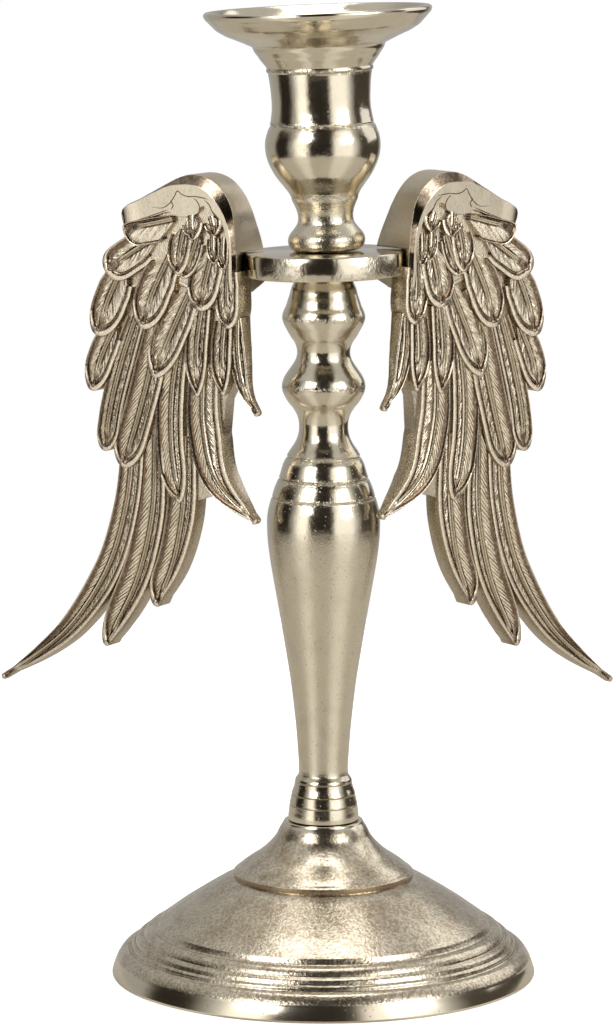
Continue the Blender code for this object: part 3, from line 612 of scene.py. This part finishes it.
def turn(name, runs, sizes):
    """Draw a profile with extrusions and spin it round Z."""
    profile = []
    for before, run in zip([[]] + runs, runs):
        for point in curve_points(before[-1:] + run, sizes.smoothing):
            if not profile or np.linalg.norm(point - profile[-1]) > 1e-4:
                profile.append(point)
    start_piece()
    bpy.ops.mesh.primitive_plane_add(size=0.001)
    piece = take(name)
    bpy.ops.object.mode_set(mode='EDIT')
    bpy.ops.mesh.merge(type='CENTER')
    first = profile[0] * MM
    bpy.ops.transform.translate(value=(first[0], 0, first[1]))
    for point, after in zip(profile, profile[1:]):
        move = (after - point) * MM
        bpy.ops.mesh.extrude_region_move(TRANSFORM_OT_translate={"value": (move[0], 0, move[1])})
    bpy.ops.mesh.select_all(action='SELECT')
    bpy.ops.mesh.spin(steps=sizes.turning_steps, angle=math.tau, center=(0, 0, 0), axis=(0, 0, 1))
    bpy.ops.mesh.select_all(action='SELECT')
    bpy.ops.mesh.remove_doubles(threshold=0.000002)
    face_outward()
    return piece


def ring_matrix():
    move = Matrix.Translation(Vector((RING_SEAT[0], 0, RING_SEAT[1])) * MM)
    return move @ Matrix.Rotation(math.radians(-RING_LEAN), 4, 'Y')


def cup_matrix():
    seat = Vector((0, 0, CUP_SEAT[1])) * MM
    move = Matrix.Translation(seat + Vector((CUP_SEAT[0], 0, 0)) * MM)
    return move @ Matrix.Rotation(math.radians(-CUP_LEAN), 4, 'Y') @ Matrix.Translation(-seat)


def side_matrix(side):
    """From (out, ahead, up) about the axis to the world."""
    sweep = math.radians(SWEEP)
    out = Vector((side * math.cos(sweep), math.sin(sweep), 0))
    ahead = Vector((side * math.sin(sweep), -math.cos(sweep), 0))
    return Matrix((out, ahead, Vector((0, 0, 1)))).transposed().to_4x4()


def wing_matrix(side):
    """From the tables' (out, up, height over the plate's back) to the world."""
    tilt = Matrix(((1, 0, 0, 0), (0, 0, 1, 0), (0, 1, 0, 0), (0, 0, 0, 1)))
    shift = Vector((TABLE_START, FACE_AHEAD - PLATE, TABLE_LEVEL))
    hang = Matrix.Identity(4)
    if side > 0:
        shift += Vector((-RIGHT_HANG[0], 0, RIGHT_HANG[1]))
        hang = Matrix.Rotation(math.radians(-RIGHT_HANG[2]), 4, 'Z')
    return side_matrix(side) @ Matrix.Translation(shift * MM) @ tilt @ hang


def half_width(half, share, root):
    """Width of one half of a feather along its length."""
    width, start, power = half
    grown = width * (root + (1 - root) * np.minimum(1.0, share / 0.35))
    rest = np.clip((share - start) / (1 - start), 0, 1)
    return grown * np.maximum(0.0, 1 - rest ** power) ** (1 / power)


def smooth(value, low, high):
    x = np.clip((value - low) / (high - low), 0, 1)
    return x * x * (3 - 2 * x)


def along_line(points, reach, t):
    """Places on a dense line at lengths t from its start."""
    return np.stack([np.interp(t, reach, points[:, k]) for k in range(points.shape[1])], -1)


def measured(points):
    """Length from the start at each point of a line."""
    return np.concatenate([[0], np.cumsum(np.linalg.norm(np.diff(points, axis=0), axis=1))])


def vane_edge(row, half, side, spine, reach, start, count):
    """Even steps along one edge of a feather, from near its root round to the very tip."""
    length = reach[-1]
    t = start + (length - start) * np.sin(np.linspace(0, math.pi / 2, 500))
    centre = along_line(spine, reach, t)
    run = along_line(spine, reach, t + 0.2) - along_line(spine, reach, t - 0.2)
    run /= np.linalg.norm(run, axis=1)[:, None]
    across = np.stack([-run[:, 1], run[:, 0]], -1) * side
    wide = half_width(half, t / length, row[4])
    blunt = 0.85 * np.sqrt(np.clip(1 - (1 - np.minimum(length - t, 0.85) / 0.85) ** 2, 0, 1))
    edge = centre + across * np.maximum(wide, blunt)[:, None]
    edge[-1] = centre[-1]
    walked = measured(edge)
    steps = np.linspace(0, walked[-1], count)
    points = along_line(edge, walked, steps)
    tangent = np.gradient(points, axis=0)
    tangent /= np.linalg.norm(tangent, axis=1)[:, None]
    inward = np.stack([tangent[:, 1], -tangent[:, 0]], -1) * side
    left = walked[-1] - steps
    turned = np.exp(-(left / 0.9) ** 2)[:, None]
    inward = inward * (1 - turned) - run[-1] * turned
    inward /= np.linalg.norm(inward, axis=1)[:, None]
    return points, inward, left


def feather_surface(row, sizes, seed):
    """Points (millimetres) and painted shades of a feather's face, the shades making its colour lighter or
    darker in place of shade and reflection.

    Rows run as the barbs do, from the rib out and forward to the edge, and fan round the tip. Each
    passes a smooth rim, a deep slope, the vane with its strokes, and half of the double rib.
    """
    name, spine, outer, inner, root, top, cut = row
    chance = np.random.default_rng(seed)
    spine = np.array(curve_points(spine, 60))
    reach = measured(spine)
    length = reach[-1]
    long_one = length > LONG_FEATHER
    pitch = sizes.barb_pitch / MM * (1.0 if long_one else 0.75)
    rib_end = length - min(3.0, 0.15 * length)
    barbs = max(5, int(round(length / pitch)))
    count = barbs * 5 + 1
    step = np.arange(count)
    share = step / (count - 1)
    rib_t = share * rib_end
    rib = along_line(spine, reach, rib_t)
    run = along_line(spine, reach, rib_t + 0.3) - along_line(spine, reach, rib_t - 0.3)
    run /= np.linalg.norm(run, axis=1)[:, None]
    beside = np.stack([-run[:, 1], run[:, 0]], -1)
    closing = smooth((1 - share) * length, 0.4, 3.6)
    rib_shown = 1 - smooth(share, 0.9, 1.0) if long_one else 1 - smooth(share, 0.62, 0.9)
    narrow = np.clip((rib_end - rib_t) / 1.5, 0, 1)
    barb = step // 5
    loud = chance.uniform(0.55, 1.35, barbs + 1)[barb]
    push = chance.uniform(-0.25, 0.25, barbs + 1)[barb]
    stroke = np.array([-1.3, 0.3, 0.55, 0.5, 0.25])[step % 5] * loud + push
    hatch = np.array([-1.0, 0.9, 0.1])[step % 3] * chance.uniform(0.6, 1.3, count)
    knots = np.arange(0, count + 4, 4)
    lumps = 0.035 if long_one else 0.1
    full_depth = sizes.slope_depth / MM
    big = min(1.0, outer[0] / 4.4)
    rim_full, slope_full = sizes.rim_width / MM * big, sizes.slope_width / MM * big
    deep = sizes.barb_depth / MM * (0.5 if long_one else 0.16) * cut
    halves = []
    for side, half in ((1, outer), (-1, inner)):
        edge, inward, left = vane_edge(row, half, side, spine, reach, 0.75 * half[0], count)
        room = np.clip(((rib - edge) * inward).sum(1), 0.2, None)
        tip = np.exp(-(left / (1.1 * half[0])) ** 2)
        rim = (0.28 + (rim_full - 0.28) * tip) if side > 0 else rim_full * (0.75 + 0.25 * tip)
        slope = slope_full * (1.0 if side > 0 else 0.45 + 0.55 * tip)
        fit = np.clip(0.62 * room / (rim + slope), 0.1, 1.0)
        rim, slope = rim * fit, slope * fit
        depth = full_depth * np.clip(fit, 0.25, 1) * (0.6 + 0.4 * share)
        tuck = -0.3 * closing * smooth(room, 0.5, 2.0) if side > 0 else 0.0 * share
        foot = edge + inward * (rim + slope)[:, None]
        ribside = rib + beside * (side * 0.74 * narrow)[:, None]
        columns = []
        # Rim: painted a little darker than the vane.
        for gap, drop, shade in ((0, 0.22, 0.5), (0.1, 0.08, 0.6), (0.5, 0, 0.66), (1.0, 0.06, 0.6)):
            at = edge + inward * (gap * rim)[:, None] if gap > 0.2 else edge + inward * gap
            columns.append((at, -drop + tuck * (1 - 0.1 * gap), shade + 0 * share))
        # Slope: painted dark, as the shade and dark reflection inside the rim.
        deepest = 0.05 if side > 0 else 0.22
        for part, fall, shade in ((0.15, 0.55, 0.3), (0.55, 1.0, deepest), (1.0, 1.0, deepest)):
            at = edge + inward * (rim + slope * part)[:, None]
            columns.append((at, tuck * 0.85 - depth * fall, shade + 0 * share))
        for q, rise_out, rise_in, env in ((0.05, 0.75, 0.66, 0.7), (0.14, 1.2, 0.82, 1.0),
                                          (0.32, 1.13, 0.74, 1.0), (0.52, 1.02, 0.6, 1.0),
                                          (0.73, 0.88, 0.45, 0.9), (0.9, 0.76, 0.33, 0.6)):
            at = foot + (ribside - foot) * q
            rise = (rise_out if side > 0 else rise_in) * closing + TIP_LEVEL * (1 - closing)
            cut_here = deep * env * closing * (stroke if side > 0 else 0.3 * hatch)
            rough = np.interp(step, knots, chance.normal(0, lumps, len(knots)))
            rough = (rough + chance.normal(0, 0.006, count)) * (1.0 if side > 0 else 0.5) * closing
            height = tuck * (1 - q) ** 4 - depth * (1 - rise) + (cut_here + rough) * fit
            # Vane: outer half painted light and inner half painted darker as the reflections fall, stroke
            # and hatch valleys painted dark, the tip painted dark.
            if side > 0:
                shade = 0.88 + 0.12 * rise + (0.5 if long_one else 0.2) * stroke * env * closing
            else:
                shade = 0.52 + 0.2 * rise + 0.14 * hatch * env * closing
            columns.append((at, height, shade * closing + 0.15 * (1 - closing)))
        # Rib: painted dark beside it, with a painted highlight on its crest.
        for x, lift, shade in ((0.74, None, 0.1), (0.56, -0.3, 0.35), (0.38, 1.0, 1.0), (0.2, 0.5, 0.8)):
            at = rib + beside * (side * x * narrow)[:, None]
            flat = -depth * (0.35 * closing + 0.9 * (1 - closing))
            if lift is None:
                raised = -depth * 0.85
            else:
                raised = lift * sizes.rib_height / MM if lift > 0 else lift * depth
            height = flat + (raised - flat) * rib_shown * closing
            shade = (shade * rib_shown + 0.75 * (1 - rib_shown)) * closing + 0.15 * (1 - closing)
            columns.append((at, height, shade))
        halves.append((columns, depth))
    middle_depth = 0.5 * (halves[0][1] + halves[1][1])
    flat = -middle_depth * (0.35 * closing + 0.9 * (1 - closing))
    shade = (0.4 * rib_shown + 0.75 * (1 - rib_shown)) * closing + 0.15 * (1 - closing)
    middle = [(rib, flat + (-0.16 - flat) * rib_shown * closing, shade)]
    order = halves[0][0] + middle + halves[1][0][::-1]
    points = np.zeros((count, len(order), 3))
    shades = np.zeros((count, len(order)))
    for j, (at, height, shade) in enumerate(order):
        points[:, j, :2] = at
        points[:, j, 2] = top - 0.65 * (1 - share) + height
        shades[:, j] = shade
    points[-1] = 0.5 * (points[-1] + points[-1][::-1])
    return points, np.clip(shades, 0, 1)


def paint_depth(piece, values, polish=0.0):
    """Store each point's painted shade, how light the carving's colour is made in place of its shade and
    reflection, and how polished it is, for its material.
    """
    layer = piece.data.attributes.new('relief', 'FLOAT', 'POINT')
    layer.data.foreach_set('value', np.asarray(values, dtype=np.float32).ravel())
    layer = piece.data.attributes.new('polish', 'FLOAT', 'POINT')
    layer.data.foreach_set('value', np.full(len(piece.data.vertices), polish, dtype=np.float32))


def close_back(piece, level):
    """Draw the open edge of a face back to a level and close it there."""
    bpy.ops.object.mode_set(mode='EDIT')
    bpy.ops.mesh.select_all(action='SELECT')
    bpy.ops.mesh.region_to_loop()
    bpy.ops.mesh.extrude_region_move(TRANSFORM_OT_translate={"value": (0, 0, -0.002)})
    bpy.ops.transform.resize(value=(1, 1, 0), center_override=(0, 0, level * MM))
    bpy.ops.mesh.edge_face_add()
    face_outward()


def carve_feather(row, sizes, seed):
    """One feather from a grid that is pressed to its shape, sewn up at the tip and drawn back."""
    points, shades = feather_surface(row, sizes, seed)
    rows, columns = shades.shape
    start_piece()
    bpy.ops.mesh.primitive_grid_add(x_subdivisions=columns - 1, y_subdivisions=rows - 1, size=0.01)
    piece = take(row[0])
    piece.data.vertices.foreach_set('co', (points * MM).ravel())
    paint_depth(piece, shades)
    bpy.ops.object.mode_set(mode='EDIT')
    bpy.ops.mesh.select_all(action='SELECT')
    bpy.ops.mesh.remove_doubles(threshold=0.000003)
    bpy.ops.object.mode_set(mode='OBJECT')
    face_count = len(piece.data.vertices)
    close_back(piece, 0.0)
    if row[0] in POINTED:
        reach, lift = POINTED[row[0]]
        tip = Vector((*row[1][-1], 0)) * MM
        for vertex in piece.data.vertices[face_count:]:
            away = (Vector((vertex.co.x, vertex.co.y, 0)) - tip).length / MM
            vertex.co.z = max(0.0, 1 - away / reach) * lift * MM
    return piece


def carve_web():
    """The plate between the feathers."""
    start_piece()
    bpy.ops.mesh.primitive_circle_add(vertices=len(WEB), radius=0.01, fill_type='NGON')
    piece = take('web')
    for vertex, (u, v) in zip(piece.data.vertices, WEB):
        vertex.co = Vector((u, v, WEB_FACE)) * MM
    close_back(piece, 0.02)
    # Painted shade: the web between the feathers gets a half-dark colour for the shade there.
    paint_depth(piece, [0.5] * len(piece.data.vertices))
    return piece


def carve_shoulder():
    """Wall of the boss, bevel, smooth band and the floor under the feathers, ring by ring."""
    rings = [[] for ring in range(7)]
    for outer, edge, band, depth in SHOULDER:
        edge, band, outer = np.array(edge), np.array(band), np.array(outer)
        inward = (band - outer) / np.linalg.norm(band - outer)
        rings[0].append((*outer, PLATE - depth))
        rings[1].append((*outer, SHOULDER_FLOOR))
        for index, part in ((2, 0.06), (3, 0.93), (4, 1.0)):
            rings[index].append((*(outer + (edge - outer) * part),
                                 SHOULDER_FLOOR + (SHOULDER_FLAT - SHOULDER_FLOOR) * part))
        rings[5].append((*band, SHOULDER_FLAT))
        rings[6].append((*(band + 0.3 * inward), SHOULDER_FLOOR))
    for outer, depth in SHOULDER_REST:
        inward = np.array(SHOULDER_CENTRE) - np.array(outer)
        inward /= np.linalg.norm(inward)
        rings[0].append((*outer, PLATE - depth))
        for index, inset in enumerate((0.0, 0.1, 0.3, 0.4, 0.9, 1.3)):
            rings[index + 1].append((*(np.array(outer) + inset * inward), SHOULDER_FLOOR))
    closed = [np.array(curve_points(ring + ring[:1], 6))[:-1] for ring in rings]
    count = len(closed[0])
    start_piece()
    bpy.ops.mesh.primitive_circle_add(vertices=count, radius=0.01, fill_type='NGON')
    piece = take('shoulder')
    bpy.ops.object.mode_set(mode='EDIT')
    bpy.ops.mesh.select_all(action='SELECT')
    for ring in rings[1:]:
        bpy.ops.mesh.extrude_region_move(TRANSFORM_OT_translate={"value": (0, 0, 0.001)})
    bpy.ops.object.mode_set(mode='OBJECT')
    piece.data.vertices.foreach_set('co', (np.concatenate(closed) * MM).ravel())
    piece.data.update()
    bpy.ops.object.mode_set(mode='EDIT')
    face_outward()
    for edge in piece.data.edges:
        first, second = edge.vertices
        if first // count == second // count and first // count not in (2, 3):
            edge.use_edge_sharp = True
    # Painted shade by ring: the bevel painted dark for its dark reflection, the band and the floor painted
    # a little darker than the wall.
    painted_ring_shades = np.repeat([1.0, 0.9, 0.28, 0.28, 0.72, 0.72, 0.75], count)
    paint_depth(piece, painted_ring_shades[:len(piece.data.vertices)], 1.0)
    soft = [-0.5] * (2 * count) + [1.0] * (4 * count) + [0.0] * count
    piece.data.attributes['polish'].data.foreach_set('value', soft[:len(piece.data.vertices)])
    return piece


def fine_line(points):
    """A fine line on the shoulder's band, painted dark as the shade of an engraved groove, thinning out at
    both ends.
    """
    line = np.array(curve_points(points, 8))
    tangent = np.gradient(line, axis=0)
    tangent /= np.linalg.norm(tangent, axis=1)[:, None]
    across = np.stack([-tangent[:, 1], tangent[:, 0]], -1)
    ends = np.minimum(np.linspace(0, 1, len(line)), np.linspace(1, 0, len(line)))
    wide = LINE_HALF_WIDTH * np.minimum(1.0, 6 * ends + 0.15)
    start_piece()
    bpy.ops.mesh.primitive_grid_add(x_subdivisions=1, y_subdivisions=len(line) - 1, size=0.01)
    piece = take('fine_line')
    for index, (point, side, half) in enumerate(zip(line, across, wide)):
        for place, sign in ((2 * index, 1), (2 * index + 1, -1)):
            spot = (*(point + side * half * sign), SHOULDER_FLAT + LINE_PROUD)
            piece.data.vertices[place].co = Vector(spot) * MM
    bpy.ops.object.mode_set(mode='EDIT')
    bpy.ops.mesh.select_all(action='SELECT')
    bpy.ops.mesh.extrude_region_move(TRANSFORM_OT_translate={"value": (0, 0, -0.0002)})
    face_outward()
    # Painted shade of the groove: the strip's colour goes nearly to the recess shade.
    paint_depth(piece, [0.12] * len(piece.data.vertices))
    return piece


def cut_slot(piece, side):
    """Cut the seat of the ring's edge and lug out of the shoulder's boss."""
    back = wing_matrix(side).inverted()
    gap = box('slot', back @ ring_matrix() @ side_matrix(side), SLOT)
    start_piece()
    bpy.ops.mesh.primitive_cylinder_add(vertices=96, radius=SEAT_RADIUS, depth=SEAT_DEPTH)
    disc = take('seat')
    disc.matrix_world = back @ ring_matrix() @ Matrix.Translation((0, 0, 0.0031))
    for tool in (gap, disc):
        modifier = piece.modifiers.new(tool.name, 'BOOLEAN')
        modifier.operation = 'DIFFERENCE'
        modifier.solver = 'EXACT'
        modifier.object = tool
        pick(piece)
        bpy.ops.object.modifier_apply(modifier=modifier.name)
        bpy.data.objects.remove(tool, do_unlink=True)


def add_turned(context, name, runs, matrix, angle, maker, node):
    """Turn a piece and put it in its place, instead of the node's plain solid."""
    piece = turn(name, runs, context.scene.candlestick_sizes)
    finish_piece(piece, matrix, angle, surface(maker, context.scene.candlestick_finish), node, node)
    return {'FINISHED'}


class CANDLESTICK_OT_foot(bpy.types.Operator):
    """Turn the hollow cast foot"""

    bl_idname = "candlestick.foot"
    bl_label = "Foot"

    def execute(self, context):
        return add_turned(context, 'cast_foot', FOOT, Matrix.Identity(4), 30, foot_nickel, 'base')


class CANDLESTICK_OT_column(bpy.types.Operator):
    """Turn the column with its balusters, taper and collar"""

    bl_idname = "candlestick.column"
    bl_label = "Column"

    def execute(self, context):
        return add_turned(context, 'turned_column', COLUMN, Matrix.Identity(4), 32, column_nickel, 'stem')


class CANDLESTICK_OT_cup(bpy.types.Operator):
    """Turn the candle cup with its drip pan"""

    bl_idname = "candlestick.cup"
    bl_label = "Candle cup"

    def execute(self, context):
        return add_turned(context, 'turned_cup', CUP, cup_matrix(), 32, polished_nickel, 'candle_cup')


class CANDLESTICK_OT_ring(bpy.types.Operator):
    """Turn the ring and add the lugs that carry the wings"""

    bl_idname = "candlestick.ring"
    bl_label = "Ring"

    def execute(self, context):
        scene = context.scene
        piece = turn('carrying_ring', RING, scene.candlestick_sizes)
        lugs = []
        for side in (1, -1):
            lug = box('lug', side_matrix(side), LUG)
            bpy.ops.object.transform_apply(location=True, rotation=True, scale=True)
            bpy.ops.object.mode_set(mode='EDIT')
            bpy.ops.mesh.select_all(action='SELECT')
            bpy.ops.mesh.normals_make_consistent(inside=False)
            bpy.ops.mesh.bevel(offset=0.0004, segments=2)
            bpy.ops.object.mode_set(mode='OBJECT')
            lugs.append(lug)
        pick(piece, *lugs)
        bpy.ops.object.join()
        finish_piece(piece, ring_matrix(), 30,
                     surface(ring_nickel, scene.candlestick_finish), 'wing_ring', 'wing_ring')
        return {'FINISHED'}


class CANDLESTICK_OT_wings(bpy.types.Operator):
    """Carve the two wings feather by feather"""

    bl_idname = "candlestick.wings"
    bl_label = "Wings"

    def execute(self, context):
        sizes = context.scene.candlestick_sizes
        for name, side in (('left', -1), ('right', 1)):
            shoulder = carve_shoulder()
            cut_slot(shoulder, side)
            parts = [carve_web()] + [fine_line(line) for line in FINE_LINES]
            for index, row in enumerate(FEATHERS):
                parts.append(carve_feather(row, sizes, 1000 + 40 * side + index))
            pick(shoulder, *parts)
            bpy.ops.object.join()
            shoulder.name = 'carved_wing_' + name
            finish_piece(shoulder, wing_matrix(side), 38,
                         surface(carved_nickel, context.scene.candlestick_finish),
                         'wing_' + name, 'wing_' + name)
            if side < 0:
                shoulder.data.flip_normals()
        return {'FINISHED'}


class CANDLESTICK_OT_fasteners(bpy.types.Operator):
    """Give the stud, rod, pins, washer and nut their steel"""

    bl_idname = "candlestick.fasteners"
    bl_label = "Fasteners"

    def execute(self, context):
        steel = surface(plain_steel, context.scene.candlestick_finish)
        for name in ('top_stud', 'base_rod', 'base_washer', 'base_nut', 'pin_left', 'pin_right'):
            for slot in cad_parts[name].material_slots:
                slot.material = steel
        return {'FINISHED'}


def studio_world(scene):
    """Pale room with two tall light boxes in front and dark screens beside and between them."""
    world = bpy.data.worlds.new('studio')
    scene.world = world
    world.use_nodes = True
    paint = Paint(world.node_tree)
    back = world.node_tree.nodes['Background']
    way = paint.node('ShaderNodeTexCoord')
    x, y, z = (paint.axis(way, index) for index in range(3))
    turn_round = x.math('ARCTAN2', y * -1.0) * (180 / math.pi)

    def band(low, high, soft=4.0):
        return turn_round.step(low - soft, low + soft) * (1.0 - turn_round.step(high - soft, high + soft))

    level = z.math('ABSOLUTE')
    boxes = turn_round.step(-70, -51) * (1.0 - turn_round.step(-38, -28))
    boxes = (boxes + 0.85 * turn_round.step(13, 25) * (1.0 - turn_round.step(54, 75)))
    boxes = boxes * (1.0 - level.step(0.5, 0.75))
    beside = (band(-112, -76, 7) + 0.85 * band(78, 148, 7)) * (1.0 - z.step(0.3, 0.62))
    between = band(-34, 17, 4) * (1.0 - z.step(0.86, 0.97))
    above = (y * -1.0).step(0.15, 0.3) * (1.0 - x.math('ABSOLUTE').step(0.3, 0.45)) * z.step(0.45, 0.6)
    dark = (beside + between).math('MAXIMUM', above * (1.0 - z.step(0.88, 0.96)))
    behind = (1.0 - band(-150, 150, 12)) * z.step(0.8, 0.86) * (1.0 - z.step(0.94, 0.98))
    room = (0.5 + 0.22 * z.step(0.5, 0.8)) * (1.0 - 0.95 * dark) + 1.3 * boxes + 0.6 * behind
    colour = paint.blend(dark.math('MINIMUM', 1.0), (1.0, 0.985, 0.96), (0.75, 0.6, 0.45))
    seen = paint.node('ShaderNodeLightPath', output=0)
    glossy = paint.node('ShaderNodeLightPath', output=3)
    strength = paint.node('ShaderNodeMix', {'data_type': 'FLOAT'},
                          {0: glossy, 2: 0.75, 3: room.math('MAXIMUM', 0.03)})
    strength = paint.node('ShaderNodeMix', {'data_type': 'FLOAT'}, {0: seen, 2: strength, 3: 1.0})
    colour = paint.blend(seen, paint.blend(glossy, (1.0, 0.99, 0.97), colour), (1.0, 1.0, 1.0))
    paint.tree.links.new(colour.socket, back.inputs['Color'])
    paint.tree.links.new(strength.socket, back.inputs['Strength'])


class CANDLESTICK_OT_stage(bpy.types.Operator):
    """Set up the floor, the light and the camera"""

    bl_idname = "candlestick.stage"
    bl_label = "Stage"

    def execute(self, context):
        scene = context.scene
        scene.view_settings.view_transform = 'Standard'
        studio_world(scene)
        start_piece()
        bpy.ops.mesh.primitive_circle_add(vertices=96, radius=0.55, fill_type='NGON')
        floor = take('floor')
        material = bpy.data.materials.new('floor_paper')
        material.use_nodes = True
        paint = Paint(material.node_tree)
        shader = material.node_tree.nodes['Principled BSDF']
        place = paint.place()
        turn_round = paint.axis(place, 0).math('ARCTAN2', paint.axis(place, 1) * -1.0) * (180 / math.pi)
        # Painted light: seen in the metal, the floor is painted pale in bands toward the light boxes and
        # darker between them.
        painted_box_light = (turn_round.step(-72, -52) * (1.0 - turn_round.step(-40, -28))
                   + 0.8 * turn_round.step(12, 26) * (1.0 - turn_round.step(52, 72)))
        mirrored = paint.blend(painted_box_light, (0.5, 0.465, 0.41), (0.78, 0.75, 0.69))
        feed(paint, shader, 'Base Color', paint.blend(
            paint.node('ShaderNodeLightPath', output=3), (0.93, 0.925, 0.915), mirrored))
        shader.inputs['Roughness'].default_value = 0.6
        feed(paint, shader, 'Emission Color', paint.blend(
            paint.node('ShaderNodeLightPath', output=0), (0, 0, 0), (1, 1, 1)))
        shader.inputs['Emission Strength'].default_value = 0.35
        floor.data.materials.append(material)
        lamps = (('key', (-0.75, -0.9, 0.75), 0.5, 5.0), ('fill', (0.85, -0.8, 0.6), 0.5, 4.0),
                 ('top', (0.0, 0.1, 1.3), 0.7, 5.0), ('edge', (1.0, 0.55, 0.7), 0.9, 3.0))
        for name, place, size, power in lamps:
            bpy.ops.object.light_add(type='AREA', location=place)
            lamp = context.object
            lamp.name = name
            lamp.data.size = size
            lamp.data.energy = power
            lamp.rotation_euler = (Vector((0, 0, 0.13)) - Vector(place)).to_track_quat('-Z', 'Y').to_euler()
        turned = math.radians(CAMERA_TURN)
        bpy.ops.object.camera_add(location=(
            CAMERA_FAR * math.sin(turned), -CAMERA_FAR * math.cos(turned), CAMERA_HIGH))
        camera = context.object
        camera.rotation_euler = (math.radians(90 - CAMERA_FALL), 0, turned + math.radians(CAMERA_ASIDE))
        camera.data.sensor_width = SENSOR
        camera.data.lens = SENSOR * FOCAL_PIXELS / PICTURE_HEIGHT
        scene.camera = camera
        return {'FINISHED'}


class CANDLESTICK_PT_panel(bpy.types.Panel):
    """Sizes, finish and pieces of the candlestick"""

    bl_idname = "CANDLESTICK_PT_panel"
    bl_label = "Winged Candlestick"
    bl_space_type = 'VIEW_3D'
    bl_region_type = 'UI'
    bl_category = "Candlestick"

    def draw(self, context):
        layout = self.layout
        for group in (context.scene.candlestick_sizes, context.scene.candlestick_finish):
            frame_box = layout.box()
            for name in group.bl_rna.properties.keys():
                if name not in ('rna_type', 'name'):
                    frame_box.prop(group, name)
        for operator in OPERATORS:
            layout.operator(operator.bl_idname)


OPERATORS = (
    CANDLESTICK_OT_foot, CANDLESTICK_OT_column, CANDLESTICK_OT_ring, CANDLESTICK_OT_cup,
    CANDLESTICK_OT_wings, CANDLESTICK_OT_fasteners, CANDLESTICK_OT_stage)
CLASSES = (CandlestickSizes, CandlestickFinish) + OPERATORS + (CANDLESTICK_PT_panel,)


def register():
    for item in CLASSES:
        bpy.utils.register_class(item)
    bpy.types.Scene.candlestick_sizes = bpy.props.PointerProperty(type=CandlestickSizes)
    bpy.types.Scene.candlestick_finish = bpy.props.PointerProperty(type=CandlestickFinish)


def unregister():
    del bpy.types.Scene.candlestick_finish
    del bpy.types.Scene.candlestick_sizes
    for item in reversed(CLASSES):
        bpy.utils.unregister_class(item)


def main():
    register()
    bpy.ops.candlestick.foot()
    bpy.ops.candlestick.column()
    bpy.ops.candlestick.ring()
    bpy.ops.candlestick.cup()
    bpy.ops.candlestick.wings()
    bpy.ops.candlestick.fasteners()
    bpy.ops.candlestick.stage()


if __name__ == "__main__":
    main()
